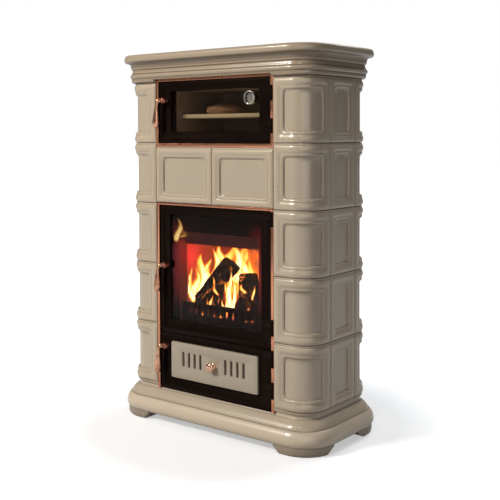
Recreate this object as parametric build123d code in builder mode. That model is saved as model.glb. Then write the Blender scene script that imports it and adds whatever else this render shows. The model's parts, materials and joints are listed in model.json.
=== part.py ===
from build123d import *

import os
from math import asin, atan, degrees

os.makedirs("parts", exist_ok=True)

# Tiled wood stove: glazed bake oven above, glazed fire door in the middle, ash door below.
# Millimetres. X to the viewer's right, Y to the back, Z up.
# Origin on the floor, below the centre of the body.

# ---------------------------------------------------------------- body of glazed tiles
wall_half_width = 443.0  # to the recessed fields of the tiles
wall_depth = 397.0
corner_radius = 82.0
foot_height = 32.0
plinth_height = 57.0
step_height = 58.5
course_height = 238.5
course_count = 5
neck_height = 35.6
crown_height = 74.4

tile_thickness = 30.0  # behind the recessed field
tile_joint = 0.6
frame_crest = 10.0  # how far the frame of a tile stands proud of its field
frame_lip = 5.0
frame_width = 44.0
frame_crest_start = 7.0
frame_crest_end = 23.0
corner_side_leg = 115.0

# ---------------------------------------------------------------- mouldings
moulding_inner = 40.0  # inner wall of every ring, behind the wall line
plinth_overhang = 50.0
plinth_foot_overhang = 42.0
plinth_nose = 22.0  # height of the widest place above the plinth's foot
groove_overhang = 30.0
ovolo_middle_overhang = 21.0
ovolo_middle = 16.0
ovolo_overhang = 4.0
ovolo_height = 30.0
arris_drop = 2.0
scotia_overhang = -3.0  # the hollow under the tiles goes behind the wall line
scotia_middle = 42.0
scotia_top = 51.0
fillet_overhang = 5.0
neck_band_overhang = 20.5
neck_band_low = 5.0
neck_band_high = 16.0
neck_bead_overhang = 26.5
neck_bead_middle = 25.0
neck_lip_overhang = 15.0
crown_groove_overhang = 20.0
crown_throat_overhang = 16.5
crown_cove_overhang = 23.5
crown_soffit_overhang = 31.0
crown_nose_overhang = 50.0
crown_nose_height = 29.0
crown_nose_flat = 11.0  # from the nose back to the flat top
crown_groove_middle = 7.0
crown_throat_low = 13.0
crown_throat_high = 18.0
crown_fillet_middle = 22.0
crown_fillet_top = 27.0
crown_cove_middle = 37.0
slab_ledge = 15.0
slab_thickness = 19.0
slab_gap = 0.3

# ---------------------------------------------------------------- feet
foot_front_reach = 136.0  # from the side wall line inwards, along the front
foot_side_reach = 84.0
foot_rear_reach = 144.0
foot_top_overhang = 43.0
foot_bottom_overhang = 36.0
foot_inner = 60.0
foot_round = 8.0
foot_end_rise = 20.0
foot_end_run = 22.0
foot_rear_run = 46.0  # the rear feet run further along the sides

# ---------------------------------------------------------------- steel body
base_wall = 3.0
plate_wall = 4.0
casing_narrower = 20.4  # each side, than the opening between the tiles
rear_air_gap = 38.0  # between the steel body and the rear panel
front_plate_front = 22.0
front_plate_wall = 6.0
front_plate_gap = 0.3
front_plate_rise = 4.0  # above the tiles, behind the cornice
front_plate_drop = 1.0  # below the ash door
rear_panel_set_in = 7.0
rear_panel_wall = 2.0
vent_length = 150.0
vent_height = 7.0
vent_pitch = 20.0
vent_count = 6
vent_low = 210.0
vent_below_flue = 270.0

flue_height = 1050.0
flue_radius = 78.0  # outside; takes a 150 mm pipe inside
flue_wall = 3.0
flue_reach = 47.5  # beyond the rear wall line
flue_flange_radius = 98.0
flue_flange_wall = 6.0
flue_panel_gap = 3.0

# ---------------------------------------------------------------- doors and their trims
opening_clearance = 0.4
door_side_gap = 2.4
door_half_width = 272.0
door_thickness = 18.0
door_rim = 19.0
door_rim_step = 3.0
door_gap = 3.0
trim_width = 11.6
trim_head_width = 9.2
trim_sill_width = 14.0
trim_wall = 1.2
trim_proud = 5.0
trim_depth = 20.0
trim_side_clearance = 2.0
glass_front = 8.0
glass_thickness = 4.0
glass_overlap = 8.0
glass_clearance = 0.3
clip_width = 14.0
clip_height = 22.0
clip_wall = 4.0
gasket_width = 8.0
gasket_inset = 2.0
gasket_gap = 0.3

oven_door_bottom = 1101.0
oven_door_below_top = 1.0  # below the top of the tiles
oven_window_half = 216.0
oven_window_bottom = 1145.0
oven_window_top = 1301.0
fire_door_bottom = 355.5
fire_door_top = 856.0
fire_window_half = 222.0
fire_window_bottom = 408.0
fire_window_top = 822.0
ash_door_bottom = 129.0
ash_door_top = fire_door_bottom - door_gap

# ---------------------------------------------------------------- hinges
hinge_beside_door = 6.8
hinge_proud = 5.0
knuckle_radius = 5.4
pin_radius = 3.0
pin_clearance = 0.05
knuckle_gap = 0.4
pin_head_radius = 4.2
pin_head_height = 3.0
hinge_notch_gap = 1.5
strap_length = 34.0
strap_wall = 4.0
strap_inset = 2.0
bracket_wall = 5.0
oven_hinges = ((1139.0, 1186.0), (1255.0, 1305.0))
fire_hinges = ((408.0, 461.0), (802.0, 850.0))
ash_hinges = ((178.5, 233.0), (292.0, 349.0))

# ---------------------------------------------------------------- handles
handle_x = -238.0
oven_handle_z = 1267.0
fire_handle_z = 621.0
ash_handle_z = 301.5
boss_radius = 13.5
boss_length = 24.0
boss_gap = 0.3
boss_step = 2.0
handle_plane = 27.0  # how far the grip's axis stands in front of the doors
arm_length = 25.0
arm_height = 15.0
arm_depth = 12.0
grip_lean = 9.0
grip_neck_radius = 6.5
grip_neck_length = 14.0
grip_shoulder_above_belly = 18.0
grip_shoulder_narrower = 1.5
grip_tip_rounding = 5.0
grip_belly_radius = 13.0
grip_end_radius = 9.0
grip_length = 103.0
grip_belly_at = 84.0
spindle_radius = 5.0
spindle_clearance = 0.05
tongue_length = 17.0
tongue_height = 12.0
tongue_back = 26.0
tongue_pocket_radius = 21.0
tongue_gap = 0.6

# ---------------------------------------------------------------- ash door front
panel_half_width = 213.0
panel_bottom = 181.0
panel_top = 322.5
panel_proud = 7.0
panel_recess = 5.0
panel_corner = 7.0
panel_clearance = 0.5
slot_length = 59.0
slot_width = 12.0
slot_pitch = 29.0
slot_first = 61.5
slots_per_side = 4
slot_z = 259.0
knob_z = 254.0
knob_radius = 18.5
knob_neck_radius = 8.0
knob_rose_radius = 14.0
knob_reach = 34.0
air_window_near = 40.0
air_window_far = 172.0
air_window_bottom = 228.0
air_window_top = 291.0
slider_half_length = 180.0
slider_bottom = 224.0
slider_top = 295.0
slider_wall = 2.0
slider_gap = 0.4
slider_offset = 7.25  # half open as shown
crank_radius = 12.64
crank_pin_radius = 2.5
crank_slot_clearance = 0.7
crank_disc_radius = 16.5
crank_disc_wall = 4.0
rail_lip = 3.0
rail_lip_wall = 1.0
rail_wall = 5.0

# ---------------------------------------------------------------- oven
oven_mouth_half = 207.0
oven_mouth_bottom = 1140.0
oven_mouth_top = 1305.0
oven_wall = 2.0
oven_rear_gap = 24.0
oven_flange = 12.0
shelf_top = 1212.0
shelf_thickness = 15.0
shelf_front = 60.0
shelf_rear_gap = 20.0
runner_width = 14.0
runner_wall = 2.0
runner_gap = 0.3

# ---------------------------------------------------------------- thermometer
gauge_x = 180.0
gauge_z = 1267.0
gauge_radius = 25.5
gauge_proud = 9.0
gauge_rim = 3.0
gauge_floor = 3.0
gauge_stem_radius = 3.0
gauge_stem_end = 21.5
gauge_dial_wall = 1.0
gauge_dial_gap = 0.3
gauge_arbor_radius = 0.8
gauge_arbor_clearance = 0.05
needle_length = 17.0
needle_tail = 9.0
needle_tip_half = 0.5
needle_tail_half = 1.8
needle_hub_radius = 2.4
needle_wall = 0.8
lens_wall = 1.5

# ---------------------------------------------------------------- firebox
hearth_top = 400.0
hearth_thickness = 30.0
hearth_rail = 20.0
hearth_rail_wall = 6.0
grate_half_width = 120.0
grate_depth = 180.0
grate_front = 95.0
grate_thickness = 15.0
grate_ledge = 9.0
grate_gap = 0.5
grate_bar_pitch = 20.0
grate_slot = 9.0
fire_mouth_half = 190.0
fire_mouth_flare = 10.0
fire_mouth_top = 751.0
reveal_back = 60.0
reveal_flange_wall = 6.0
reveal_wall = 14.0
throat_top = 703.0
throat_half = 188.0
lining_thickness = 28.0
lining_top = 745.0
lining_rear_gap = 34.0
baffle_thickness = 20.0
baffle_front = 105.0
guard_front = 40.0
guard_wall = 7.0
guard_top = 476.0
guard_slot_bottom = 429.0
guard_slot_top = 458.0
guard_slot_width = 9.0
guard_slot_pitch = 30.5
guard_slot_count = 11
guard_gap = 0.4

# ---------------------------------------------------------------- ash pan
pan_half_width = 186.0
pan_front = 42.0
pan_rear_gap = 20.0
pan_height = 145.0
pan_wall = 2.0
pan_lip = 10.0
pan_gap = 0.3
ash_mouth_half = 212.0
ash_mouth_top = 338.0

# ---------------------------------------------------------------- levels and planes
front_y = -wall_depth / 2
rear_y = wall_depth / 2
plinth_bottom = foot_height
step_bottom = plinth_bottom + plinth_height
body_bottom = step_bottom + step_height
body_top = body_bottom + course_count * course_height
oven_door_top = body_top - oven_door_below_top
crown_bottom = body_top + neck_height
stove_top = crown_bottom + crown_height
trim_inner = door_half_width + door_side_gap
trim_outer = trim_inner + trim_width
door_opening_half = trim_outer + opening_clearance
corner_front_leg = wall_half_width - door_opening_half
casing_half_width = door_opening_half - casing_narrower
hinge_x = door_half_width + hinge_beside_door
casing_depth = wall_depth - rear_panel_set_in - rear_panel_wall - rear_air_gap
casing_inside = casing_depth - plate_wall
oven_back = casing_inside - oven_rear_gap
shelf_back = oven_back - oven_wall - shelf_rear_gap
lining_back = casing_inside - lining_rear_gap
pan_back = casing_inside - pan_rear_gap
vent_high = flue_height - vent_below_flue
door_back = door_thickness
front_plate_back = front_plate_front + front_plate_wall
front_plate_bottom = ash_door_bottom - front_plate_drop
front_plate_top = body_top + front_plate_rise
fire_trim_top = fire_door_top + trim_side_clearance + trim_head_width
oven_trim_bottom = oven_door_bottom - trim_side_clearance - trim_sill_width
oven_trim_top = oven_door_top + trim_side_clearance + trim_head_width
front_tile_bottom = fire_trim_top + opening_clearance
front_tile_top = oven_trim_bottom - opening_clearance


def depth(distance):
    """Y of a point that lies this far behind the front wall line."""
    return front_y + distance


def front_plane(distance=0.0):
    """Plane facing the viewer; its X is X, its Y is Z."""
    return Plane(origin=(0, depth(distance), 0), x_dir=(1, 0, 0), z_dir=(0, -1, 0))


def finish(piece, name):
    """Label a finished piece and write it."""
    piece.part.label = name
    export_step(piece.part, f"parts/{name}.step")


def centre_of(low, high):
    return (low + high) / 2


def box_between(x_low, x_high, d_low, d_high, z_low, z_high, mode=Mode.ADD):
    """Block given by its limits in X, in depth behind the wall line and in Z."""
    middle = (centre_of(x_low, x_high), depth(centre_of(d_low, d_high)), centre_of(z_low, z_high))
    with Locations(middle):
        Box(x_high - x_low, d_high - d_low, z_high - z_low, mode=mode)


def frame_opening(plane, half_width, bottom, top, thickness, mode=Mode.SUBTRACT):
    """Rectangle on a front plane, carried towards the back."""
    with BuildSketch(plane) as outline:
        with Locations((0, centre_of(bottom, top))):
            Rectangle(2 * half_width, top - bottom)
    extrude(outline.sketch, amount=-thickness, mode=mode)


# ================================================================ mouldings round the body
straight_half_width = wall_half_width - corner_radius
straight_half_depth = wall_depth / 2 - corner_radius
with BuildLine() as wall_line:
    front_right = Line((0, front_y), (straight_half_width, front_y))
    corner_one = JernArc(front_right @ 1, front_right % 1, corner_radius, 90)
    right_side = Line(corner_one @ 1, (wall_half_width, straight_half_depth))
    corner_two = JernArc(right_side @ 1, right_side % 1, corner_radius, 90)
    back_side = Line(corner_two @ 1, (-straight_half_width, rear_y))
    corner_three = JernArc(back_side @ 1, back_side % 1, corner_radius, 90)
    left_side = Line(corner_three @ 1, (-wall_half_width, -straight_half_depth))
    corner_four = JernArc(left_side @ 1, left_side % 1, corner_radius, 90)
    Line(corner_four @ 1, front_right @ 0)
moulding_plane = Plane(origin=(0, front_y, 0), x_dir=(0, -1, 0), z_dir=(-1, 0, 0))


with BuildPart() as base_plinth:
    with BuildSketch(moulding_plane):
        with BuildLine():
            Polyline(
                (groove_overhang, step_bottom),
                (-moulding_inner, step_bottom),
                (-moulding_inner, plinth_bottom),
                (plinth_foot_overhang, plinth_bottom),
            )
            ThreePointArc(
                (plinth_foot_overhang, plinth_bottom),
                (plinth_overhang, plinth_bottom + plinth_nose),
                (groove_overhang, step_bottom),
            )
        make_face()
    sweep(path=wall_line.line)
finish(base_plinth, "base_plinth")

with BuildPart() as base_step:
    with BuildSketch(moulding_plane):
        with BuildLine():
            ThreePointArc(
                (groove_overhang, step_bottom),
                (ovolo_middle_overhang, step_bottom + ovolo_middle),
                (ovolo_overhang, step_bottom + ovolo_height),
            )
            Line(
                (ovolo_overhang, step_bottom + ovolo_height),
                (ovolo_overhang - arris_drop, step_bottom + ovolo_height + arris_drop),
            )
            ThreePointArc(
                (ovolo_overhang - arris_drop, step_bottom + ovolo_height + arris_drop),
                (scotia_overhang, step_bottom + scotia_middle),
                (fillet_overhang, step_bottom + scotia_top),
            )
            Polyline(
                (fillet_overhang, step_bottom + scotia_top),
                (fillet_overhang, body_bottom),
                (-moulding_inner, body_bottom),
                (-moulding_inner, step_bottom),
                (groove_overhang, step_bottom),
            )
        make_face()
    sweep(path=wall_line.line)
    # The ash door and its trim stand down into the top of the step.
    box_between(
        -door_opening_half,
        door_opening_half,
        -plinth_overhang,
        front_plate_back + front_plate_gap,
        front_plate_bottom - front_plate_gap,
        body_bottom + 1,
        mode=Mode.SUBTRACT,
    )
finish(base_step, "base_step")

with BuildPart() as cornice_neck:
    with BuildSketch(moulding_plane):
        with BuildLine():
            Polyline(
                (crown_groove_overhang, crown_bottom),
                (-moulding_inner, crown_bottom),
                (-moulding_inner, body_top),
                (neck_lip_overhang, body_top),
                (neck_band_overhang, body_top + neck_band_low),
                (neck_band_overhang, body_top + neck_band_high),
            )
            ThreePointArc(
                (neck_band_overhang, body_top + neck_band_high),
                (neck_bead_overhang, body_top + neck_bead_middle),
                (crown_groove_overhang, crown_bottom),
            )
        make_face()
    sweep(path=wall_line.line)
    # The oven's trim stands up into the lowest band over the door.
    box_between(
        -door_opening_half,
        door_opening_half,
        -plinth_overhang,
        front_plate_back + front_plate_gap,
        body_top - 1,
        oven_trim_top + opening_clearance,
        mode=Mode.SUBTRACT,
    )
finish(cornice_neck, "cornice_neck")

with BuildPart() as cornice_crown:
    with BuildSketch(moulding_plane):
        with BuildLine():
            ThreePointArc(
                (crown_groove_overhang, crown_bottom),
                (crown_throat_overhang + 1, crown_bottom + crown_groove_middle),
                (crown_throat_overhang, crown_bottom + crown_throat_low),
            )
            Polyline(
                (crown_throat_overhang, crown_bottom + crown_throat_low),
                (crown_throat_overhang, crown_bottom + crown_throat_high),
                (crown_cove_overhang - 1.5, crown_bottom + crown_fillet_middle),
                (crown_cove_overhang, crown_bottom + crown_fillet_top),
            )
            ThreePointArc(
                (crown_cove_overhang, crown_bottom + crown_fillet_top),
                (crown_cove_overhang + 2, crown_bottom + crown_cove_middle),
                (crown_soffit_overhang, stove_top - crown_nose_height - 1),
            )
            Line(
                (crown_soffit_overhang, stove_top - crown_nose_height - 1),
                (crown_nose_overhang - 9, stove_top - crown_nose_height),
            )
            ThreePointArc(
                (crown_nose_overhang - 9, stove_top - crown_nose_height),
                (crown_nose_overhang, stove_top - 0.5 * crown_nose_height),
                (crown_nose_overhang - crown_nose_flat, stove_top),
            )
            Polyline(
                (crown_nose_overhang - crown_nose_flat, stove_top),
                (slab_ledge - moulding_inner, stove_top),
                (slab_ledge - moulding_inner, stove_top - slab_thickness - 1),
                (-moulding_inner, stove_top - slab_thickness - 1),
                (-moulding_inner, crown_bottom),
                (crown_groove_overhang, crown_bottom),
            )
        make_face()
    sweep(path=wall_line.line)
finish(cornice_crown, "cornice_crown")

slab_inset = moulding_inner - slab_ledge + slab_gap
with BuildPart() as top_slab:
    with BuildSketch(Plane.XY.offset(stove_top - slab_thickness - 1)):
        RectangleRounded(
            2 * (wall_half_width - slab_inset),
            wall_depth - 2 * slab_inset,
            corner_radius - slab_inset,
        )
    extrude(amount=slab_thickness)
finish(top_slab, "top_slab")


def round_corner(side, end, leg, reach):
    """Line on the wall round one corner: a leg along the front or rear, then a reach along the side.

    Side is -1 or 1 in X; end is -1 at the front and 1 at the rear.
    """
    start = (side * (wall_half_width - leg), end * rear_y)
    bend = (side * straight_half_width, end * rear_y)
    short_of_side = max(0.0, corner_radius - reach)
    turn = 90 - degrees(asin(short_of_side / corner_radius))
    with BuildLine() as path:
        straight = Line(start, bend)
        arc = JernArc(straight @ 1, (side, 0), corner_radius, -side * end * turn)
        if reach > corner_radius:
            Line(arc @ 1, (side * wall_half_width, end * (rear_y - reach)))
    return path.line


# ================================================================ feet
def foot(side, end, reach):
    """One foot round a corner."""
    along_end = (side * (wall_half_width - foot_front_reach), end * rear_y)
    path_line = round_corner(side, end, foot_front_reach, reach)
    profile_plane = Plane(origin=(*along_end, 0), x_dir=(0, end, 0), z_dir=(end, 0, 0))
    with BuildPart() as piece:
        with BuildSketch(profile_plane):
            with BuildLine():
                Polyline(
                    (-foot_inner, 0),
                    (foot_bottom_overhang, 0),
                    (foot_top_overhang - 1, foot_round),
                    (foot_top_overhang, foot_height),
                    (-foot_inner, foot_height),
                    close=True,
                )
            make_face()
        sweep(path=path_line)
        # Both ends rise at a slope into the plinth.
        end_x = side * (wall_half_width - foot_front_reach)
        with BuildSketch(Plane.XZ):
            with BuildLine():
                Polyline(
                    (end_x, 0),
                    (end_x + side * foot_end_run, 0),
                    (end_x, foot_end_rise),
                    close=True,
                )
            make_face()
        extrude(amount=wall_depth, both=True, mode=Mode.SUBTRACT)
        end_y = end * (rear_y - reach)
        side_run = foot_rear_run if end > 0 else foot_end_run
        with BuildSketch(Plane.YZ):
            with BuildLine():
                Polyline(
                    (end_y, 0),
                    (end_y + end * side_run, 0),
                    (end_y, foot_end_rise),
                    close=True,
                )
            make_face()
        extrude(amount=2 * wall_half_width, both=True, mode=Mode.SUBTRACT)
    return piece


for side, side_name in ((-1, "left"), (1, "right")):
    for end, end_name, reach in ((-1, "front", foot_side_reach), (1, "rear", foot_rear_reach)):
        finish(foot(side, end, reach), f"foot_{end_name}_{side_name}")


# ================================================================ tiles
tile_height = course_height - tile_joint
field_slope = frame_width - frame_crest_end
lowest_tile = body_bottom + tile_joint / 2


def tile_section(bottom):
    """Upright section of a corner tile: local X is outwards, local Y is up."""
    top = bottom + tile_height
    return (
        (-tile_thickness, bottom),
        (frame_lip, bottom),
        (frame_crest, bottom + frame_crest_start),
        (frame_crest, bottom + frame_crest_end),
        (0, bottom + frame_width),
        (0, top - frame_width),
        (frame_crest, top - frame_crest_end),
        (frame_crest, top - frame_crest_start),
        (frame_lip, top),
        (-tile_thickness, top),
    )


def upright_bead():
    """Plan of the upright frame at one edge of a tile: local X along the wall, Y outwards."""
    return (
        (0, 0),
        (0, frame_lip),
        (frame_crest_start, frame_crest),
        (frame_crest_end, frame_crest),
        (frame_width, 0),
    )


def corner_column(side, end):
    """Five rounded corner tiles, one above the other."""
    front_start = (side * (wall_half_width - corner_front_leg + tile_joint / 2), end * rear_y)
    side_end = (side * wall_half_width, end * (rear_y - corner_side_leg + tile_joint / 2))
    path_line = round_corner(
        side, end, corner_front_leg - tile_joint / 2, corner_side_leg - tile_joint / 2
    )
    section_plane = Plane(origin=(*front_start, 0), x_dir=(0, end, 0), z_dir=(end, 0, 0))
    with BuildPart() as column:
        for course in range(course_count):
            bottom = lowest_tile + course * course_height
            with BuildSketch(section_plane):
                with BuildLine():
                    Polyline(*tile_section(bottom), close=True)
                make_face()
            sweep(path=path_line)
            bead_bottom = bottom + frame_crest_start
            bead_height = tile_height - 2 * frame_crest_start
            # Upright beads on the front edge and on the side edge.
            with BuildSketch(Plane.XY.offset(bead_bottom)):
                with BuildLine():
                    Polyline(
                        *[
                            (front_start[0] + side * along, front_start[1] + end * out)
                            for along, out in upright_bead()
                        ],
                        close=True,
                    )
                make_face()
                with BuildLine():
                    Polyline(
                        *[
                            (side_end[0] + side * out, side_end[1] + end * along)
                            for along, out in upright_bead()
                        ],
                        close=True,
                    )
                make_face()
            extrude(amount=bead_height)
    return column


for side, side_name in ((-1, "left"), (1, "right")):
    for end, end_name in ((-1, "front"), (1, "rear")):
        finish(corner_column(side, end), f"corner_tiles_{end_name}_{side_name}")


def flat_tile(wall_plane, across, width, bottom, height, thickness):
    """One flat tile with a raised frame; wall_plane faces outwards on the wall line."""
    middle = (across, bottom + height / 2)
    with BuildSketch(wall_plane.offset(frame_lip)) as outline:
        with Locations(middle):
            Rectangle(width, height)
    extrude(outline.sketch, amount=-(thickness + frame_lip))
    rise = frame_crest - frame_lip
    extrude(outline.sketch, amount=rise, taper=degrees(atan(frame_crest_start / rise)))
    with BuildSketch(wall_plane.offset(frame_crest)) as field:
        with Locations(middle):
            Rectangle(width - 2 * frame_crest_end, height - 2 * frame_crest_end)
    slope = degrees(atan(field_slope / frame_crest))
    extrude(field.sketch, amount=-frame_crest, taper=slope, mode=Mode.SUBTRACT)


side_tile_width = wall_depth - 2 * corner_side_leg - tile_joint
for side, side_name in ((-1, "left"), (1, "right")):
    side_plane = Plane(
        origin=(side * wall_half_width, 0, 0), x_dir=(0, side, 0), z_dir=(side, 0, 0)
    )
    with BuildPart() as side_tiles:
        for course in range(course_count):
            tile_bottom = lowest_tile + course * course_height
            flat_tile(side_plane, 0, side_tile_width, tile_bottom, tile_height, tile_thickness)
    finish(side_tiles, f"side_tiles_{side_name}")

front_tile_width = door_opening_half - tile_joint
front_tile_height = front_tile_top - front_tile_bottom
front_tile_thickness = front_plate_front - front_plate_gap
with BuildPart() as front_tiles:
    for across in (-door_opening_half / 2, door_opening_half / 2):
        flat_tile(
            front_plane(),
            across,
            front_tile_width,
            front_tile_bottom,
            front_tile_height,
            front_tile_thickness,
        )
finish(front_tiles, "front_tiles")

# ================================================================ steel body
frame_half_width = wall_half_width - moulding_inner - front_plate_gap
frame_length = wall_depth - 2 * (moulding_inner + front_plate_gap)
frame_radius = corner_radius - moulding_inner - front_plate_gap
with BuildPart() as base_frame:
    with BuildSketch(Plane.XY.offset(foot_height)):
        RectangleRounded(2 * frame_half_width, frame_length, frame_radius)
    extrude(amount=body_bottom - foot_height)
    with BuildSketch(Plane.XY.offset(foot_height)):
        RectangleRounded(
            2 * (frame_half_width - base_wall),
            frame_length - 2 * base_wall,
            frame_radius - base_wall,
        )
    extrude(amount=body_bottom - foot_height - base_wall, mode=Mode.SUBTRACT)
finish(base_frame, "base_frame")

casing_inner_half = casing_half_width - plate_wall
casing_top = body_top - plate_wall
for side, side_name in ((-1, "left"), (1, "right")):
    outer = side * casing_half_width
    inner = side * casing_inner_half
    ledge = side * (casing_inner_half - hearth_rail)
    rail_top = hearth_top - hearth_thickness
    with BuildPart() as side_plate:
        box_between(
            min(outer, inner),
            max(outer, inner),
            front_plate_back,
            casing_depth,
            body_bottom,
            casing_top,
        )
        # Ledge that carries the hearth.
        box_between(
            min(inner, ledge),
            max(inner, ledge),
            front_plate_back,
            casing_inside,
            rail_top - hearth_rail_wall,
            rail_top,
        )
    finish(side_plate, f"side_plate_{side_name}")

with BuildPart() as back_plate:
    box_between(
        -casing_inner_half,
        casing_inner_half,
        casing_inside,
        casing_depth,
        body_bottom,
        casing_top,
    )
    with BuildSketch(front_plane(casing_depth)):
        with Locations((0, flue_height)):
            Circle(flue_radius - flue_wall)
    extrude(amount=plate_wall, mode=Mode.SUBTRACT)
finish(back_plate, "back_plate")

with BuildPart() as top_plate:
    box_between(
        -casing_half_width,
        casing_half_width,
        front_plate_back,
        casing_depth,
        casing_top,
        body_top,
    )
finish(top_plate, "top_plate")

with BuildPart() as rear_panel:
    panel_front_depth = wall_depth - rear_panel_set_in - rear_panel_wall
    panel_back_depth = wall_depth - rear_panel_set_in
    box_between(
        -door_opening_half + tile_joint,
        door_opening_half - tile_joint,
        panel_front_depth,
        panel_back_depth,
        body_bottom,
        body_top,
    )
    with BuildSketch(front_plane(panel_back_depth)):
        with Locations((0, flue_height)):
            Circle(flue_radius + flue_panel_gap)
        for group in (vent_low, vent_high):
            for row in range(vent_count):
                with Locations((-vent_length * 0.7, group + row * vent_pitch)):
                    SlotOverall(vent_length, vent_height)
                with Locations((vent_length * 0.7, group + row * vent_pitch)):
                    SlotOverall(vent_length, vent_height)
    extrude(amount=rear_panel_wall, mode=Mode.SUBTRACT)
finish(rear_panel, "rear_panel")

with BuildPart() as flue_collar:
    with BuildSketch(front_plane(casing_depth)):
        with Locations((0, flue_height)):
            Circle(flue_flange_radius)
    extrude(amount=-flue_flange_wall)
    with BuildSketch(front_plane(casing_depth)):
        with Locations((0, flue_height)):
            Circle(flue_radius)
    extrude(amount=-(wall_depth + flue_reach - casing_depth))
    with BuildSketch(front_plane(casing_depth)):
        with Locations((0, flue_height)):
            Circle(flue_radius - flue_wall)
    extrude(amount=-(wall_depth + flue_reach - casing_depth), mode=Mode.SUBTRACT)
finish(flue_collar, "flue_collar")

# Cast front plate with the mouths of the oven, the firebox and the ash chamber.
with BuildPart() as front_plate:
    box_between(
        -trim_outer,
        trim_outer,
        front_plate_front,
        front_plate_back,
        front_plate_bottom,
        front_plate_top,
    )
    face_plane = front_plane(front_plate_front)
    frame_opening(
        face_plane, oven_mouth_half, oven_mouth_bottom, oven_mouth_top, front_plate_wall
    )
    frame_opening(
        face_plane,
        fire_mouth_half + fire_mouth_flare,
        hearth_top,
        fire_mouth_top + 4,
        front_plate_wall,
    )
    frame_opening(face_plane, ash_mouth_half, body_bottom, ash_mouth_top, front_plate_wall)
    with BuildSketch(face_plane):
        for pocket_z in (oven_handle_z, fire_handle_z, ash_handle_z):
            with Locations((handle_x, pocket_z)):
                Circle(tongue_pocket_radius)
    extrude(amount=-front_plate_wall, mode=Mode.SUBTRACT)
finish(front_plate, "front_plate")

# ================================================================ oven
with BuildPart() as oven_box:
    box_between(
        -oven_mouth_half - oven_wall,
        oven_mouth_half + oven_wall,
        front_plate_back,
        oven_back,
        oven_mouth_bottom - oven_wall,
        oven_mouth_top + oven_wall,
    )
    box_between(
        -oven_mouth_half - oven_flange,
        oven_mouth_half + oven_flange,
        front_plate_back,
        front_plate_back + oven_wall,
        oven_mouth_bottom - oven_flange,
        oven_mouth_top + oven_flange,
    )
    box_between(
        -oven_mouth_half,
        oven_mouth_half,
        front_plate_back,
        oven_back - oven_wall,
        oven_mouth_bottom,
        oven_mouth_top,
        mode=Mode.SUBTRACT,
    )
finish(oven_box, "oven_box")

shelf_bottom = shelf_top - shelf_thickness
with BuildPart() as oven_runners:
    for side in (-1, 1):
        wall_x = side * oven_mouth_half
        edge_x = side * (oven_mouth_half - runner_wall)
        tray_x = side * (oven_mouth_half - runner_width)
        box_between(
            min(wall_x, edge_x),
            max(wall_x, edge_x),
            shelf_front - 10,
            shelf_back + 10,
            shelf_bottom - runner_wall,
            shelf_top + 6,
        )
        box_between(
            min(wall_x, tray_x),
            max(wall_x, tray_x),
            shelf_front - 10,
            shelf_back + 10,
            shelf_bottom - runner_wall,
            shelf_bottom,
        )
finish(oven_runners, "oven_runners")

with BuildPart() as oven_shelf:
    shelf_half = oven_mouth_half - runner_wall - runner_gap
    box_between(-shelf_half, shelf_half, shelf_front, shelf_back, shelf_bottom, shelf_top)
finish(oven_shelf, "oven_shelf")


# ================================================================ trims
def notch_for_hinges(hinges):
    """Cut the front flange of a trim where the knuckles stand."""
    for low, high in hinges:
        box_between(
            trim_inner - 1,
            trim_outer - trim_wall,
            -trim_proud - 1,
            trim_depth + 1,
            low - hinge_notch_gap,
            high + knuckle_gap + pin_head_height + hinge_notch_gap,
            mode=Mode.SUBTRACT,
        )


with BuildPart() as oven_trim:
    frame_opening(
        front_plane(-trim_proud),
        trim_outer,
        oven_trim_bottom,
        oven_trim_top,
        trim_depth + trim_proud,
        Mode.ADD,
    )
    frame_opening(
        front_plane(-trim_proud),
        trim_inner,
        oven_door_bottom - trim_side_clearance,
        oven_door_top + trim_side_clearance,
        trim_depth + trim_proud,
    )
    frame_opening(
        front_plane(-trim_proud + trim_wall),
        trim_outer - trim_wall,
        oven_trim_bottom + trim_wall,
        oven_trim_top - trim_wall,
        trim_depth + trim_proud,
    )
    notch_for_hinges(oven_hinges)
finish(oven_trim, "oven_trim")

with BuildPart() as fire_trim:
    frame_opening(
        front_plane(-trim_proud),
        trim_outer,
        front_plate_bottom,
        fire_trim_top,
        trim_depth + trim_proud,
        Mode.ADD,
    )
    frame_opening(
        front_plane(-trim_proud),
        trim_inner,
        front_plate_bottom - 1,
        fire_door_top + trim_side_clearance,
        trim_depth + trim_proud,
    )
    frame_opening(
        front_plane(-trim_proud + trim_wall),
        trim_outer - trim_wall,
        front_plate_bottom - 1,
        fire_trim_top - trim_wall,
        trim_depth + trim_proud,
    )
    notch_for_hinges(fire_hinges)
    notch_for_hinges(ash_hinges)
finish(fire_trim, "fire_trim")

# ================================================================ hinges
every_hinge = oven_hinges + fire_hinges + ash_hinges
hinge_y = depth(-hinge_proud)


def barrel(low, high, radius, mode=Mode.ADD):
    """Upright cylinder on the hinge line."""
    with BuildSketch(Plane.XY.offset(low)) as outline:
        with Locations((hinge_x, hinge_y)):
            Circle(radius)
    extrude(outline.sketch, amount=high - low, mode=mode)


with BuildPart() as hinge_brackets:
    for low, high in every_hinge:
        split = centre_of(low, high) - knuckle_gap / 2
        barrel(low, split, knuckle_radius)
        # Web that carries the lower knuckle, back to the front plate.
        box_between(
            hinge_x - bracket_wall / 2,
            hinge_x + bracket_wall / 2,
            -hinge_proud,
            front_plate_front,
            low,
            split,
        )
        barrel(low, split, pin_radius, mode=Mode.SUBTRACT)
finish(hinge_brackets, "hinge_brackets")

with BuildPart() as hinge_pins:
    for low, high in every_hinge:
        barrel(low, high, pin_radius)
        barrel(high + knuckle_gap, high + knuckle_gap + pin_head_height, pin_head_radius)
        barrel(high, high + knuckle_gap, pin_radius)
finish(hinge_pins, "hinge_pins")


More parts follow.
